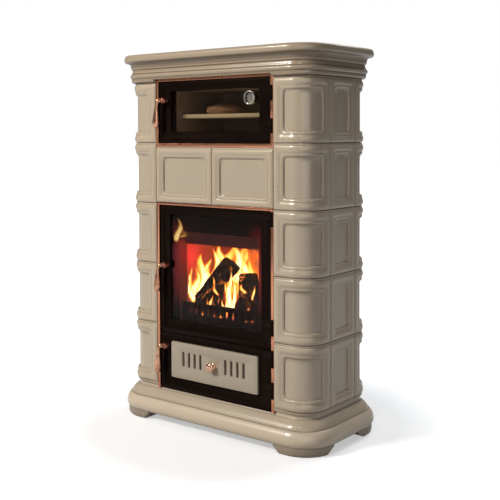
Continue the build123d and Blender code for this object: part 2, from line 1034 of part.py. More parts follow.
# ================================================================ doors
def door_knuckles(hinges):
    """Upper knuckles with their straps on the door's face."""
    for low, high in hinges:
        split = centre_of(low, high) + knuckle_gap / 2
        barrel(split, high, knuckle_radius)
        box_between(
            door_half_width - strap_length,
            hinge_x,
            -strap_wall,
            0,
            split + strap_inset / 2,
            high - strap_inset / 2,
        )
        barrel(split, high, pin_radius + pin_clearance, mode=Mode.SUBTRACT)


def spindle_bore(z):
    """Hole through a door for the handle's spindle."""
    with BuildSketch(front_plane()) as outline:
        with Locations((handle_x, z)):
            Circle(spindle_radius + spindle_clearance)
    extrude(outline.sketch, amount=-door_thickness, mode=Mode.SUBTRACT)


def glazed_door(bottom, top, window_half, window_bottom, window_top, hinges, handle_z):
    """Cast door frame with a raised rim, a bevelled window and a rebate for the glass."""
    with BuildPart() as frame:
        frame_opening(front_plane(), door_half_width, bottom, top, door_thickness, Mode.ADD)
        frame_opening(
            front_plane(),
            door_half_width - door_rim,
            bottom + door_rim,
            top - door_rim,
            door_rim_step,
        )
        frame_opening(front_plane(), window_half, window_bottom, window_top, door_thickness)
        window_edges = (
            frame.faces()
            .filter_by(Axis.Y)
            .filter_by(lambda face: abs(face.center().Y - depth(door_rim_step)) < 0.1)[0]
            .inner_wires()[0]
            .edges()
        )
        chamfer(window_edges, glass_front - door_rim_step - 2)
        frame_opening(
            front_plane(glass_front),
            window_half + glass_overlap,
            window_bottom - glass_overlap,
            window_top + glass_overlap,
            door_thickness,
        )
        door_knuckles(hinges)
        spindle_bore(handle_z)
    return frame


def door_glass(window_half, window_bottom, window_top):
    reach = glass_overlap - glass_clearance
    with BuildPart() as pane:
        frame_opening(
            front_plane(glass_front),
            window_half + reach,
            window_bottom - reach,
            window_top + reach,
            glass_thickness,
            Mode.ADD,
        )
    return pane


def glass_clips(window_half, window_bottom, window_top):
    """Four blocks that hold the pane in its rebate."""
    reach = window_half + glass_overlap - clip_width / 2
    quarter = (window_top - window_bottom) / 4
    middle = centre_of(window_bottom, window_top)
    back = glass_front + glass_thickness
    with BuildPart() as clips:
        for side in (-1, 1):
            for level in (middle - quarter, middle + quarter):
                box_between(
                    side * reach - clip_width / 2,
                    side * reach + clip_width / 2,
                    back,
                    back + clip_wall,
                    level - clip_height / 2,
                    level + clip_height / 2,
                )
    return clips


def door_gasket(bottom, top):
    """Rope seal round the back of a door, pressed to a square section."""
    outer = door_half_width - gasket_inset
    inner = outer - gasket_width
    thickness = front_plate_front - door_back - gasket_gap
    with BuildPart() as seal:
        frame_opening(
            front_plane(door_back),
            outer,
            bottom + gasket_inset,
            top - gasket_inset,
            thickness,
            Mode.ADD,
        )
        frame_opening(
            front_plane(door_back),
            inner,
            bottom + gasket_inset + gasket_width,
            top - gasket_inset - gasket_width,
            thickness,
        )
    return seal


def door_handle(z):
    """Lever: boss, arm, hanging drop grip, spindle through the door and latch tongue."""
    with BuildPart() as lever:
        # Spindle and boss.
        with BuildSketch(front_plane(tongue_back)):
            with Locations((handle_x, z)):
                Circle(spindle_radius)
        extrude(amount=tongue_back)
        with BuildSketch(front_plane(door_rim_step - boss_gap)):
            with Locations((handle_x, z)):
                Circle(boss_radius)
        extrude(amount=boss_length)
        # Arm to the left, at the plane of the grip.
        arm_end = handle_x - arm_length
        arm_middle = (arm_end + handle_x) / 2
        with BuildSketch(front_plane(-handle_plane + arm_depth / 2)):
            with Locations((arm_middle, z)):
                Rectangle(arm_length, arm_height)
            with Locations((handle_x, z)):
                Circle(boss_radius - boss_step)
            with Locations((arm_end, z)):
                Circle(arm_height / 2)
        extrude(amount=arm_depth)
        # Drop grip, turned about an axis that leans outwards.
        top = Vector(arm_end, depth(-handle_plane), z)
        down = Vector(-grip_lean, 0, -grip_length).normalized()
        across = Vector(0, -1, 0)
        with BuildSketch(Plane(origin=top, x_dir=across, z_dir=across.cross(down))):
            with BuildLine():
                Polyline(
                    (0, 0),
                    (grip_neck_radius, 0),
                    (grip_neck_radius, grip_neck_length),
                    (
                        grip_belly_radius - grip_shoulder_narrower,
                        grip_belly_at - grip_shoulder_above_belly,
                    ),
                    (grip_belly_radius, grip_belly_at),
                    (grip_end_radius, grip_length - grip_tip_rounding),
                    (grip_end_radius - grip_tip_rounding, grip_length),
                    (0, grip_length),
                    close=True,
                )
            make_face()
        revolve(axis=Axis(top, down))
        # Tongue behind the door, inside its pocket in the front plate.
        box_between(
            handle_x - tongue_length,
            handle_x,
            door_back + tongue_gap,
            tongue_back,
            z - tongue_height / 2,
            z + tongue_height / 2,
        )
    return lever


oven_window = (oven_window_half, oven_window_bottom, oven_window_top)
fire_window = (fire_window_half, fire_window_bottom, fire_window_top)
finish(
    glazed_door(oven_door_bottom, oven_door_top, *oven_window, oven_hinges, oven_handle_z),
    "oven_door_frame",
)
finish(
    glazed_door(fire_door_bottom, fire_door_top, *fire_window, fire_hinges, fire_handle_z),
    "fire_door_frame",
)
finish(door_glass(*fire_window), "fire_door_glass")
finish(glass_clips(*oven_window), "oven_glass_clips")
finish(glass_clips(*fire_window), "fire_glass_clips")
finish(door_gasket(oven_door_bottom, oven_door_top), "oven_door_gasket")
finish(door_gasket(fire_door_bottom, fire_door_top), "fire_door_gasket")
finish(door_gasket(ash_door_bottom, ash_door_top), "ash_door_gasket")
finish(door_handle(oven_handle_z), "oven_door_handle")
finish(door_handle(fire_handle_z), "fire_door_handle")
finish(door_handle(ash_handle_z), "ash_door_handle")

# The oven's pane has a hole for the thermometer's stem.
with BuildPart() as oven_door_glass:
    add(door_glass(*oven_window).part)
    with BuildSketch(front_plane(glass_front)):
        with Locations((gauge_x, gauge_z)):
            Circle(gauge_stem_radius + pin_clearance)
    extrude(amount=-glass_thickness, mode=Mode.SUBTRACT)
finish(oven_door_glass, "oven_door_glass")


# ================================================================ ash door
def slot_centres():
    return [
        side * (slot_first + index * slot_pitch) for side in (-1, 1) for index in range(slots_per_side)
    ]


with BuildPart() as ash_door_frame:
    frame_opening(
        front_plane(), door_half_width, ash_door_bottom, ash_door_top, door_thickness, Mode.ADD
    )
    frame_opening(
        front_plane(),
        door_half_width - door_rim,
        ash_door_bottom + door_rim,
        ash_door_top - door_rim + 4,
        door_rim_step,
    )
    # Recess for the panel, and two air windows behind its slots.
    frame_opening(
        front_plane(),
        panel_half_width + panel_clearance,
        panel_bottom - panel_clearance,
        panel_top + panel_clearance,
        panel_recess,
    )
    for side in (-1, 1):
        near = side * air_window_near
        far = side * air_window_far
        box_between(
            min(near, far),
            max(near, far),
            0,
            door_thickness,
            air_window_bottom,
            air_window_top,
            mode=Mode.SUBTRACT,
        )
    # Bore for the knob's spindle, and a round pocket for its crank.
    with BuildSketch(front_plane()):
        with Locations((0, knob_z)):
            Circle(spindle_radius + spindle_clearance)
    extrude(amount=-door_thickness, mode=Mode.SUBTRACT)
    with BuildSketch(front_plane(door_back)):
        with Locations((0, knob_z)):
            Circle(crank_disc_radius + tongue_gap)
    extrude(amount=crank_disc_wall + slider_gap, mode=Mode.SUBTRACT)
    # Rails that hold the slider by its long edges.
    rail_back = door_back + slider_gap + slider_wall + slider_gap + rail_lip_wall
    lip_front = door_back + slider_gap + slider_wall + slider_gap
    for edge, outwards in ((slider_bottom, -1), (slider_top, 1)):
        rail_near = edge + outwards * slider_gap
        rail_far = edge + outwards * rail_wall
        lip_edge = edge - outwards * rail_lip
        box_between(
            -slider_half_length,
            slider_half_length,
            door_back,
            rail_back,
            min(rail_near, rail_far),
            max(rail_near, rail_far),
        )
        box_between(
            -slider_half_length,
            slider_half_length,
            lip_front,
            rail_back,
            min(lip_edge, rail_far),
            max(lip_edge, rail_far),
        )
    door_knuckles(ash_hinges)
    spindle_bore(ash_handle_z)
finish(ash_door_frame, "ash_door_frame")

with BuildPart() as ash_panel:
    with BuildSketch(front_plane(-panel_proud)):
        with Locations((0, centre_of(panel_bottom, panel_top))):
            RectangleRounded(2 * panel_half_width, panel_top - panel_bottom, panel_corner)
    extrude(amount=-(panel_proud + panel_recess))
    front_edges = ash_panel.faces().sort_by(Axis.Y)[0].edges()
    chamfer(front_edges, 2.0)
    with BuildSketch(front_plane(-panel_proud)):
        for across in slot_centres():
            with Locations((across, slot_z)):
                SlotOverall(slot_length, slot_width, rotation=90)
        with Locations((0, knob_z)):
            Circle(spindle_radius + spindle_clearance)
    extrude(amount=-(panel_proud + panel_recess), mode=Mode.SUBTRACT)
finish(ash_panel, "ash_panel")

with BuildPart() as air_slider:
    slider_front = door_back + slider_gap
    slider_reach = slider_half_length - slider_offset - 2
    with BuildSketch(front_plane(slider_front)):
        with Locations((slider_offset, centre_of(slider_bottom, slider_top))):
            Rectangle(2 * slider_reach, slider_top - slider_bottom)
    extrude(amount=-slider_wall)
    with BuildSketch(front_plane(slider_front)):
        for across in slot_centres():
            with Locations((across + slider_offset, slot_z)):
                SlotOverall(slot_length, slot_width, rotation=90)
        # Upright slot for the crank pin.
        drop = crank_radius * 0.19
        slot_half = crank_pin_radius + crank_slot_clearance
        with Locations((0, knob_z + crank_radius - drop / 2)):
            Rectangle(2 * slot_half, 2 * slot_half + drop)
    extrude(amount=-slider_wall, mode=Mode.SUBTRACT)
finish(air_slider, "air_slider")

with BuildPart() as air_knob:
    panel_face = -panel_proud - 0.3
    crank_front = door_back - crank_disc_wall
    with BuildSketch(front_plane(crank_front)):
        with Locations((0, knob_z)):
            Circle(spindle_radius)
    extrude(amount=crank_front - panel_face + 4)
    with BuildSketch(front_plane(door_back)):
        with Locations((0, knob_z)):
            Circle(crank_disc_radius)
    extrude(amount=crank_disc_wall)
    with BuildSketch(front_plane(door_back + slider_gap + slider_wall)):
        with Locations((0, knob_z + crank_radius)):
            Circle(crank_pin_radius)
    extrude(amount=slider_gap + slider_wall)
    # Turned knob: rose, neck and ball.
    knob_axis = Axis((0, depth(0), knob_z), (0, -1, 0))
    with BuildSketch(Plane(origin=(0, depth(0), knob_z), x_dir=(0, -1, 0), z_dir=(0, 0, 1))):
        face = -panel_face
        with BuildLine():
            Polyline(
                (face, 0),
                (face, knob_rose_radius),
                (face + 3, knob_rose_radius),
                (face + 5, knob_neck_radius),
                (face + 7, knob_neck_radius),
                (face + 10, knob_radius - 3),
            )
            ThreePointArc(
                (face + 10, knob_radius - 3),
                (face + 16, knob_radius),
                (knob_reach - 5, knob_radius - 4),
            )
            Polyline(
                (knob_reach - 5, knob_radius - 4),
                (knob_reach, knob_radius - 11),
                (knob_reach, 0),
                (face, 0),
            )
        make_face()
    revolve(axis=knob_axis)
finish(air_knob, "air_knob")


# ================================================================ thermometer
def disc(front, back, radius, mode=Mode.ADD):
    """Flat disc on the thermometer's axis."""
    with BuildSketch(front_plane(front)) as outline:
        with Locations((gauge_x, gauge_z)):
            Circle(radius)
    extrude(outline.sketch, amount=-(back - front), mode=mode)


case_back = glass_front - gauge_dial_gap
case_inner = gauge_radius - gauge_rim
dial_front = case_back - gauge_floor - gauge_dial_gap - gauge_dial_wall
needle_back = dial_front - gauge_dial_gap
with BuildPart() as thermometer_case:
    disc(-gauge_proud, case_back, gauge_radius)
    disc(-gauge_proud, case_back - gauge_floor, case_inner, mode=Mode.SUBTRACT)
    disc(case_back, gauge_stem_end, gauge_stem_radius)
    disc(needle_back - needle_wall - gauge_dial_gap, case_back - gauge_floor, gauge_arbor_radius)
finish(thermometer_case, "thermometer_case")

with BuildPart() as thermometer_dial:
    disc(dial_front, dial_front + gauge_dial_wall, case_inner - gauge_dial_gap)
    disc(
        dial_front,
        dial_front + gauge_dial_wall,
        gauge_arbor_radius + gauge_arbor_clearance,
        mode=Mode.SUBTRACT,
    )
finish(thermometer_dial, "thermometer_dial")

with BuildPart() as thermometer_needle:
    disc(needle_back - needle_wall, needle_back, needle_hub_radius)
    needle_origin = (gauge_x, depth(needle_back - needle_wall), gauge_z)
    with BuildSketch(Plane(origin=needle_origin, x_dir=(1, 0, 0), z_dir=(0, -1, 0))):
        with BuildLine():
            Polyline(
                (needle_tip_half, needle_length),
                (needle_tail_half, -needle_tail),
                (-needle_tail_half, -needle_tail),
                (-needle_tip_half, needle_length),
                close=True,
            )
        make_face()
    extrude(amount=-needle_wall)
    disc(
        needle_back - needle_wall,
        needle_back,
        gauge_arbor_radius + gauge_arbor_clearance,
        mode=Mode.SUBTRACT,
    )
finish(thermometer_needle, "thermometer_needle")

with BuildPart() as thermometer_lens:
    disc(1.5 - gauge_proud, 1.5 - gauge_proud + lens_wall, case_inner - gauge_dial_gap)
finish(thermometer_lens, "thermometer_lens")

# ================================================================ firebox
with BuildPart() as firebox_reveal:
    reveal_outer = fire_mouth_half + fire_mouth_flare + reveal_wall
    box_between(
        -reveal_outer,
        reveal_outer,
        front_plate_back,
        reveal_back + reveal_flange_wall,
        hearth_top,
        fire_mouth_top + 4 + reveal_wall,
    )
    # Flared mouth, narrowing towards the fire.
    with BuildSketch(front_plane(front_plate_back)):
        with Locations((0, centre_of(hearth_top - 30, fire_mouth_top + 4))):
            Rectangle(2 * (fire_mouth_half + fire_mouth_flare), fire_mouth_top + 34 - hearth_top)
    with BuildSketch(front_plane(reveal_back)):
        with Locations((0, centre_of(hearth_top - 30, fire_mouth_top))):
            Rectangle(2 * fire_mouth_half, fire_mouth_top + 30 - hearth_top)
    loft(mode=Mode.SUBTRACT)
    frame_opening(
        front_plane(reveal_back), throat_half, hearth_top, throat_top, reveal_flange_wall
    )
finish(firebox_reveal, "firebox_reveal")

lining_front = reveal_back + reveal_flange_wall
for side, side_name in ((-1, "left"), (1, "right")):
    near = side * fire_mouth_half
    far = side * (fire_mouth_half + lining_thickness)
    with BuildPart() as side_lining:
        box_between(
            min(near, far), max(near, far), lining_front, lining_back, hearth_top, lining_top
        )
    finish(side_lining, f"firebox_lining_{side_name}")

with BuildPart() as back_lining:
    box_between(
        -fire_mouth_half,
        fire_mouth_half,
        lining_back - lining_thickness,
        lining_back,
        hearth_top,
        lining_top,
    )
finish(back_lining, "firebox_lining_back")

with BuildPart() as firebox_baffle:
    box_between(
        -fire_mouth_half - lining_thickness,
        fire_mouth_half + lining_thickness,
        baffle_front,
        lining_back,
        lining_top,
        lining_top + baffle_thickness,
    )
finish(firebox_baffle, "firebox_baffle")

with BuildPart() as firebox_hearth:
    box_between(
        -casing_inner_half + front_plate_gap,
        casing_inner_half - front_plate_gap,
        front_plate_back + front_plate_gap,
        casing_inside - front_plate_gap,
        hearth_top - hearth_thickness,
        hearth_top,
    )
    box_between(
        -grate_half_width,
        grate_half_width,
        grate_front,
        grate_front + grate_depth,
        hearth_top - grate_thickness,
        hearth_top,
        mode=Mode.SUBTRACT,
    )
    box_between(
        -grate_half_width + grate_ledge,
        grate_half_width - grate_ledge,
        grate_front + grate_ledge,
        grate_front + grate_depth - grate_ledge,
        hearth_top - hearth_thickness,
        hearth_top,
        mode=Mode.SUBTRACT,
    )
finish(firebox_hearth, "firebox_hearth")

with BuildPart() as firebox_grate:
    box_between(
        -grate_half_width + grate_gap,
        grate_half_width - grate_gap,
        grate_front + grate_gap,
        grate_front + grate_depth - grate_gap,
        hearth_top - grate_thickness,
        hearth_top,
    )
    grate_slots = int((2 * grate_half_width - 2 * grate_ledge) / grate_bar_pitch)
    with BuildSketch(Plane.XY.offset(hearth_top)):
        with Locations((0, depth(grate_front + grate_depth / 2))):
            with GridLocations(grate_bar_pitch, 1, grate_slots, 1):
                SlotOverall(grate_depth - 4 * grate_ledge, grate_slot, rotation=90)
    extrude(amount=-grate_thickness, mode=Mode.SUBTRACT)
finish(firebox_grate, "firebox_grate")

with BuildPart() as log_guard:
    box_between(
        -fire_mouth_half - 2,
        fire_mouth_half + 2,
        guard_front,
        guard_front + guard_wall,
        hearth_top + guard_gap,
        guard_top,
    )
    with BuildSketch(front_plane(guard_front)):
        with Locations((0, centre_of(guard_slot_bottom, guard_slot_top))):
            with GridLocations(guard_slot_pitch, 1, guard_slot_count, 1):
                SlotOverall(guard_slot_top - guard_slot_bottom, guard_slot_width, rotation=90)
    extrude(amount=-guard_wall, mode=Mode.SUBTRACT)
finish(log_guard, "log_guard")

# ================================================================ ash pan
with BuildPart() as ash_pan:
    pan_bottom = body_bottom + pan_gap
    pan_top = pan_bottom + pan_height
    box_between(-pan_half_width, pan_half_width, pan_front, pan_back, pan_bottom, pan_top)
    box_between(
        -pan_half_width + pan_wall,
        pan_half_width - pan_wall,
        pan_front + pan_wall,
        pan_back - pan_wall,
        pan_bottom + pan_wall,
        pan_top,
        mode=Mode.SUBTRACT,
    )
    # Turned-out lip along the front, to pull by.
    box_between(
        -pan_half_width / 2,
        pan_half_width / 2,
        pan_front - pan_lip,
        pan_front,
        pan_top - pan_wall,
        pan_top,
    )
finish(ash_pan, "ash_pan")
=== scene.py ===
"""Dresses a tiled wood stove: glazed tiles, mouldings, doors, handles, fire and a plain stage."""

import json
import math

import bmesh
import bpy
from mathutils import Matrix, Vector, noise


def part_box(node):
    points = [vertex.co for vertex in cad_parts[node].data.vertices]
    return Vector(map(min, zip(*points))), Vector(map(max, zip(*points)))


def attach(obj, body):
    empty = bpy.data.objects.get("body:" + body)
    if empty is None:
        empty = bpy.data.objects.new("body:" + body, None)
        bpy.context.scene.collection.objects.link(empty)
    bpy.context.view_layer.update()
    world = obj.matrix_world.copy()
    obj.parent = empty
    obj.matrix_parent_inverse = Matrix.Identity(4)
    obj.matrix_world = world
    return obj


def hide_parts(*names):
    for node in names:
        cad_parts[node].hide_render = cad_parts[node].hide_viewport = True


bl_info = {
    "name": "Tiled Wood Stove",
    "version": (1, 0, 0),
    "blender": (4, 5, 0),
    "location": "View3D > Sidebar > Stove",
    "description": "Glazed tiles, mouldings, doors, handles, fire and stage of a tiled wood stove",
    "category": "Add Mesh",
}

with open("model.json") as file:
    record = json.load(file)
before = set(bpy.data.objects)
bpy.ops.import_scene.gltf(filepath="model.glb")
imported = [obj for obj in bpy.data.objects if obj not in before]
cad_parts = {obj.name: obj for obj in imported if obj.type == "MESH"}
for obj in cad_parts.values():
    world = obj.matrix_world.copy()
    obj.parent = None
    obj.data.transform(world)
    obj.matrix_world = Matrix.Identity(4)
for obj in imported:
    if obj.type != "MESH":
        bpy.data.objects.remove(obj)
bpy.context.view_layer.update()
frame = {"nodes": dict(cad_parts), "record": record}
MM = 0.001
BODY_OF = {
    node: body for body, nodes in frame["record"]["behaviour"]["bodies"].items() for node in nodes
}
MATERIALS = {}
SIDES = ((-1, "left"), (1, "right"))
ENDS = ((-1, "front"), (1, "rear"))


# ---- settings
def length(name, description, default):
    return bpy.props.FloatProperty(
        name=name, description=description, default=default, unit="LENGTH", subtype="DISTANCE"
    )


def colour(name, description, default):
    return bpy.props.FloatVectorProperty(
        name=name, description=description, default=default, size=3, min=0, max=1, subtype="COLOR"
    )


class StoveTileSizes(bpy.types.PropertyGroup):
    half_width: length("Half width", "From the centre to the tiles' fields", 0.443)
    depth: length("Depth", "Front fields to rear fields", 0.397)
    corner_radius: length("Corner radius", "Radius of the rounded corners", 0.082)
    corner_leg: length("Corner leg", "Width of a corner tile along the front", 0.1566)
    corner_reach: length("Corner reach", "Width of a corner tile along the side", 0.115)
    course_height: length("Course height", "Joint to joint", 0.2385)
    lowest_course: length("Lowest course", "Height of the lowest joint", 0.1475)
    joint: length("Joint", "Gap between tiles", 0.0006)
    crest: length("Frame crest", "How far a tile's frame stands proud", 0.0098)
    sink: length("Field depth", "How far a tile's field lies behind its wall line", 0.0026)
    lip: length("Lip", "How far a tile's upper band stands proud", 0.0052)
    field_corner: length("Field corner", "Rounding of the field's corners", 0.016)
    courses: bpy.props.IntProperty(
        name="Courses", description="Tiles one above the other", default=5
    )


class StoveHandleSizes(bpy.types.PropertyGroup):
    boss_x: length("Boss place", "Where the handles turn, from the centre", -0.238)
    oven_z: length("Oven handle height", "Height of the oven handle's boss", 1.267)
    fire_z: length("Fire handle height", "Height of the fire handle's boss", 0.621)
    ash_z: length("Ash handle height", "Height of the ash handle's boss", 0.3015)
    neck: length("Neck radius", "Radius of the grip's neck", 0.0062)
    belly: length("Belly radius", "Largest radius of the grip", 0.0128)
    knob_radius: length("Knob radius", "Radius of the air knob", 0.0185)


class StoveFireSettings(bpy.types.PropertyGroup):
    seed: bpy.props.IntProperty(name="Seed", description="Seed of the bark and embers", default=11)
    embers: bpy.props.IntProperty(name="Embers", description="Number of ember lumps", default=150)
    ember_size: length("Ember size", "Radius of an ember", 0.0075)
    glow: bpy.props.FloatProperty(name="Glow", description="Strength of the flames", default=2.15)


class StoveColours(bpy.types.PropertyGroup):
    glaze: colour("Glaze", "Colour of the ivory glaze", (0.69, 0.585, 0.45))
    glaze_worn: colour("Thin glaze", "Glaze where it runs thin on edges", (0.75, 0.62, 0.46))
    # the patina brown also serves as painted shade on the feet and in the crown's cove
    patina: colour("Patina", "Brown that settles in the joints", (0.13, 0.075, 0.038))
    copper: colour("Copper", "Polished copper", (0.66, 0.29, 0.17))
    copper_dark: colour("Aged copper", "Copper that has darkened", (0.30, 0.11, 0.06))
    iron: colour("Cast iron", "Black cast iron", (0.009, 0.005, 0.0038))
    steel: colour("Sheet steel", "Plain steel, dulled by heat", (0.30, 0.29, 0.28))
    paint: colour("Body paint", "Matt heat-proof paint", (0.02, 0.02, 0.02))
    # this firebrick colour is painted orange firelight
    brick: colour("Firebrick", "Lining in the glow of the fire", (0.42, 0.26, 0.17))
    slab: colour("Slab", "Refractory slab", (0.74, 0.65, 0.51))
    floor: colour("Floor", "Plain pale floor", (0.86, 0.90, 0.95))


def settings(name):
    return getattr(bpy.context.scene, "stove_" + name)


def front_line():
    """Y of the front wall line in mm, from which depths are counted."""
    return -settings("tiles").depth / MM / 2


# ---- mesh helpers
def add_object(name, data):
    thing = bpy.data.objects.new(name, data)
    bpy.context.scene.collection.objects.link(thing)
    return thing


def finish_mesh(piece, material, smooth=40):
    """One material, and edges sharper than an angle in degrees left hard."""
    mesh = piece.data
    mesh.materials.clear()
    mesh.materials.append(MATERIALS[material])
    mesh.polygons.foreach_set("material_index", [0] * len(mesh.polygons))
    mesh.shade_smooth()
    mesh.set_sharp_from_angle(angle=math.radians(smooth))


def from_shape(name, shape, material, smooth=40):
    """Object from a bmesh, which is freed."""
    mesh = bpy.data.meshes.new(name)
    shape.to_mesh(mesh)
    shape.free()
    piece = add_object(name, mesh)
    finish_mesh(piece, material, smooth)
    return piece


def make_piece(name, verts, faces, material, smooth=40, weld=False, **masks):
    """Object from points in mm; masks are values for each point that materials read."""
    mesh = bpy.data.meshes.new(name)
    mesh.from_pydata([Vector(vert) * MM for vert in verts], [], faces)
    mesh.update()
    for key, values in masks.items():
        mesh.attributes.new(key, "FLOAT", "POINT").data.foreach_set("value", values)
    shape = bmesh.new()
    shape.from_mesh(mesh)
    bpy.data.meshes.remove(mesh)
    if weld:
        bmesh.ops.remove_doubles(shape, verts=shape.verts, dist=1e-6)
    bmesh.ops.recalc_face_normals(shape, faces=shape.faces)
    return from_shape(name, shape, material, smooth)


def grid_faces(rows, columns, around=True, closed=False):
    """Quads between rows of points; around joins a row's ends, closed the last and first row."""
    faces = []
    for i in range(rows if closed else rows - 1):
        here, there = i * columns, (i + 1) % rows * columns
        for j in range(columns if around else columns - 1):
            after = (j + 1) % columns
            faces.append((here + j, here + after, there + after, there + j))
    return faces


def end_caps(rows, columns):
    return [tuple(range(columns)), tuple(range((rows - 1) * columns, rows * columns))]


def ring_turns(steps):
    return [2 * math.pi * step / steps for step in range(steps)]


def settle(piece, body, *nodes, slot=None):
    """Joins a finished piece to its body, in place of the solids that it stands for."""
    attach(piece, body)
    if nodes:
        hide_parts(*nodes)


def dress(material, *nodes):
    """Gives solids whose shape is right their finish."""
    for node in nodes:
        materials = frame["nodes"][node].data.materials
        materials.clear()
        materials.append(MATERIALS[material])


def refine(node, material, bevel, slot, smooth=35):
    """A merged copy of a solid with softened edges, in mm, that stands for the solid."""
    shape = bmesh.new()
    shape.from_mesh(frame["nodes"][node].data)
    bmesh.ops.remove_doubles(shape, verts=shape.verts, dist=1e-6)
    flat = math.radians(0.5)
    bmesh.ops.dissolve_limit(shape, angle_limit=flat, verts=shape.verts, edges=shape.edges)
    if bevel:
        hard = [
            edge
            for edge in shape.edges
            if len(edge.link_faces) == 2 and edge.calc_face_angle(0) > math.radians(30)
        ]
        soften(shape, hard, bevel, clamp_overlap=True)
    piece = from_shape(node + "_finished", shape, material, smooth)
    settle(piece, BODY_OF[node], node, slot=slot)
    return piece


def soften(shape, edges, offset, **limits):
    bmesh.ops.bevel(
        shape, geom=edges, offset=offset * MM, segments=2, profile=0.5, affect="EDGES", **limits
    )


def lathe(name, profile, centre, material, steps=48, smooth=40):
    """Turned piece: profile is (distance forwards, radius), all in mm."""
    verts, faces, rings = [], [], []
    x, y, z = centre
    for reach, radius in profile:
        turns = ring_turns(steps if radius > 0 else 1)
        rings.append(range(len(verts), len(verts) + len(turns)))
        for turn in turns:
            verts.append((x + radius * math.cos(turn), y - reach, z + radius * math.sin(turn)))
    for low, high in zip(rings, rings[1:]):
        for step in range(steps):
            pairs = ((low, step), (low, step + 1), (high, step + 1), (high, step))
            corners = dict.fromkeys(ring[place % len(ring)] for ring, place in pairs)
            if len(corners) > 2:
                faces.append(tuple(corners))
    return make_piece(name, verts, faces, material, smooth)


def tube(name, route, material, steps=28):
    """Round bar along a route of (x, y, z, half width, half depth), capped at both ends."""
    points = [Vector(stop[:3]) for stop in route]
    forwards = Vector((0, -1, 0))
    verts = []
    neighbours = zip([points[0]] + points, points, points[1:] + [points[-1]], route)
    for before, point, after, stop in neighbours:
        along = (after - before).normalized()
        deep = (forwards - along * along.dot(forwards)).normalized()
        side = along.cross(deep).normalized()
        for turn in ring_turns(steps):
            verts.append(point + side * math.cos(turn) * stop[3] + deep * math.sin(turn) * stop[4])
    faces = grid_faces(len(route), steps) + end_caps(len(route), steps)
    return make_piece(name, verts, faces, material, 60)


def smooth_route(keys, divisions=7):
    """Catmull-Rom curve through keys."""
    keys = [Vector(key) for key in keys]
    padded = [keys[0], *keys, keys[-1]]
    route = []
    for a, b, c, d in zip(padded, padded[1:], padded[2:], padded[3:]):
        for step in range(divisions):
            t = step / divisions
            square = (2 * a - 5 * b + 4 * c - d) * t * t
            cube = (3 * b - a - 3 * c + d) * t**3
            route.append(0.5 * (2 * b + (c - a) * t + square + cube))
    return route + [keys[-1]]


def bar(name, low, high, material, round_off):
    """Block between two corners, in mm, with softened edges."""
    shape = bmesh.new()
    bmesh.ops.create_cube(shape, size=1)
    for vert in shape.verts:
        vert.co = [MM * ((a + b) / 2 + c * (b - a)) for a, b, c in zip(low, high, vert.co)]
    soften(shape, shape.edges[:], round_off)
    return from_shape(name, shape, material)


def join(name, pieces, material, smooth=40):
    """One object from several that share a finish."""
    shape = bmesh.new()
    for piece in pieces:
        shape.from_mesh(piece.data)
        bpy.data.objects.remove(piece)
    return from_shape(name, shape, material, smooth)


def plain(piece):
    """Turns a piece with modifiers into a plain mesh."""
    graph = bpy.context.evaluated_depsgraph_get()
    mesh = bpy.data.meshes.new_from_object(piece.evaluated_get(graph), depsgraph=graph)
    piece.modifiers.clear()
    piece.data = mesh


def carve(piece, low, high, material, smooth):
    """Cuts a block out of a piece; corners in mm."""
    cutter = bar("cutter", low, high, material, 0.01)
    cut = piece.modifiers.new("Cut", "BOOLEAN")
    cut.operation = "DIFFERENCE"
    cut.solver = "EXACT"
    cut.object = cutter
    plain(piece)
    bpy.data.objects.remove(cutter)
    finish_mesh(piece, material, smooth)


# ---- node helpers
def feed(tree, socket, value):
    """Links a value to a socket, or sets it as the socket's own."""
    if isinstance(value, bpy.types.NodeSocket):
        tree.links.new(value, socket)
    elif value is not None:
        socket.default_value = (*value, 1) if socket.type == "RGBA" else value


def feed_named(tree, node, values):
    """Feeds a node's sockets by their names, with _ for a space."""
    for key, value in values.items():
        feed(tree, node.inputs[key.replace("_", " ")], value)


def add_node(tree, kind, *ordered, **named):
    """New node; small names set its traits, capital ones and the ordered values its sockets."""
    node = tree.nodes.new(kind)
    for key, value in named.items():
        if key[0].islower():
            setattr(node, key, value)
    for socket, value in zip(node.inputs, ordered):
        feed(tree, socket, value)
    feed_named(tree, node, {key: value for key, value in named.items() if key[0].isupper()})
    return node


def maths(tree, operation, a, b=None, clamp=False):
    return add_node(
        tree, "ShaderNodeMath", a, b, operation=operation, use_clamp=clamp
    ).outputs[0]


def times(tree, a, b, clamp=False):
    return maths(tree, "MULTIPLY", a, b, clamp)


def plus(tree, a, b, clamp=True):
    return maths(tree, "ADD", a, b, clamp)


def rise(tree, a, b, gain):
    """What a has more than b, times the gain, kept between 0 and 1."""
    return times(tree, maths(tree, "SUBTRACT", a, b, True), gain, True)


def mix_colour(tree, factor, a, b):
    node = add_node(tree, "ShaderNodeMix", factor, data_type="RGBA")
    feed(tree, node.inputs[6], a)
    feed(tree, node.inputs[7], b)
    return node.outputs[2]


def ramp(tree, factor, stops):
    """Colours along a factor; stops are (position, colour)."""
    node = add_node(tree, "ShaderNodeValToRGB", factor)
    points = node.color_ramp.elements
    points.remove(points[-1])
    points[0].position = stops[0][0]
    for position, _ in stops[1:]:
        points.new(position)
    for point, (_, shade) in zip(points, stops):
        point.color = (*shade, 1)
    return node.outputs[0]


def noise_texture(tree, vector, scale, detail=3.0, roughness=0.5):
    return add_node(
        tree, "ShaderNodeTexNoise", Vector=vector, Scale=scale, Detail=detail, Roughness=roughness
    ).outputs["Fac"]


def cell_texture(tree, vector, scale, feature):
    return add_node(
        tree, "ShaderNodeTexVoronoi", Vector=vector, Scale=scale, feature=feature
    ).outputs["Distance"]


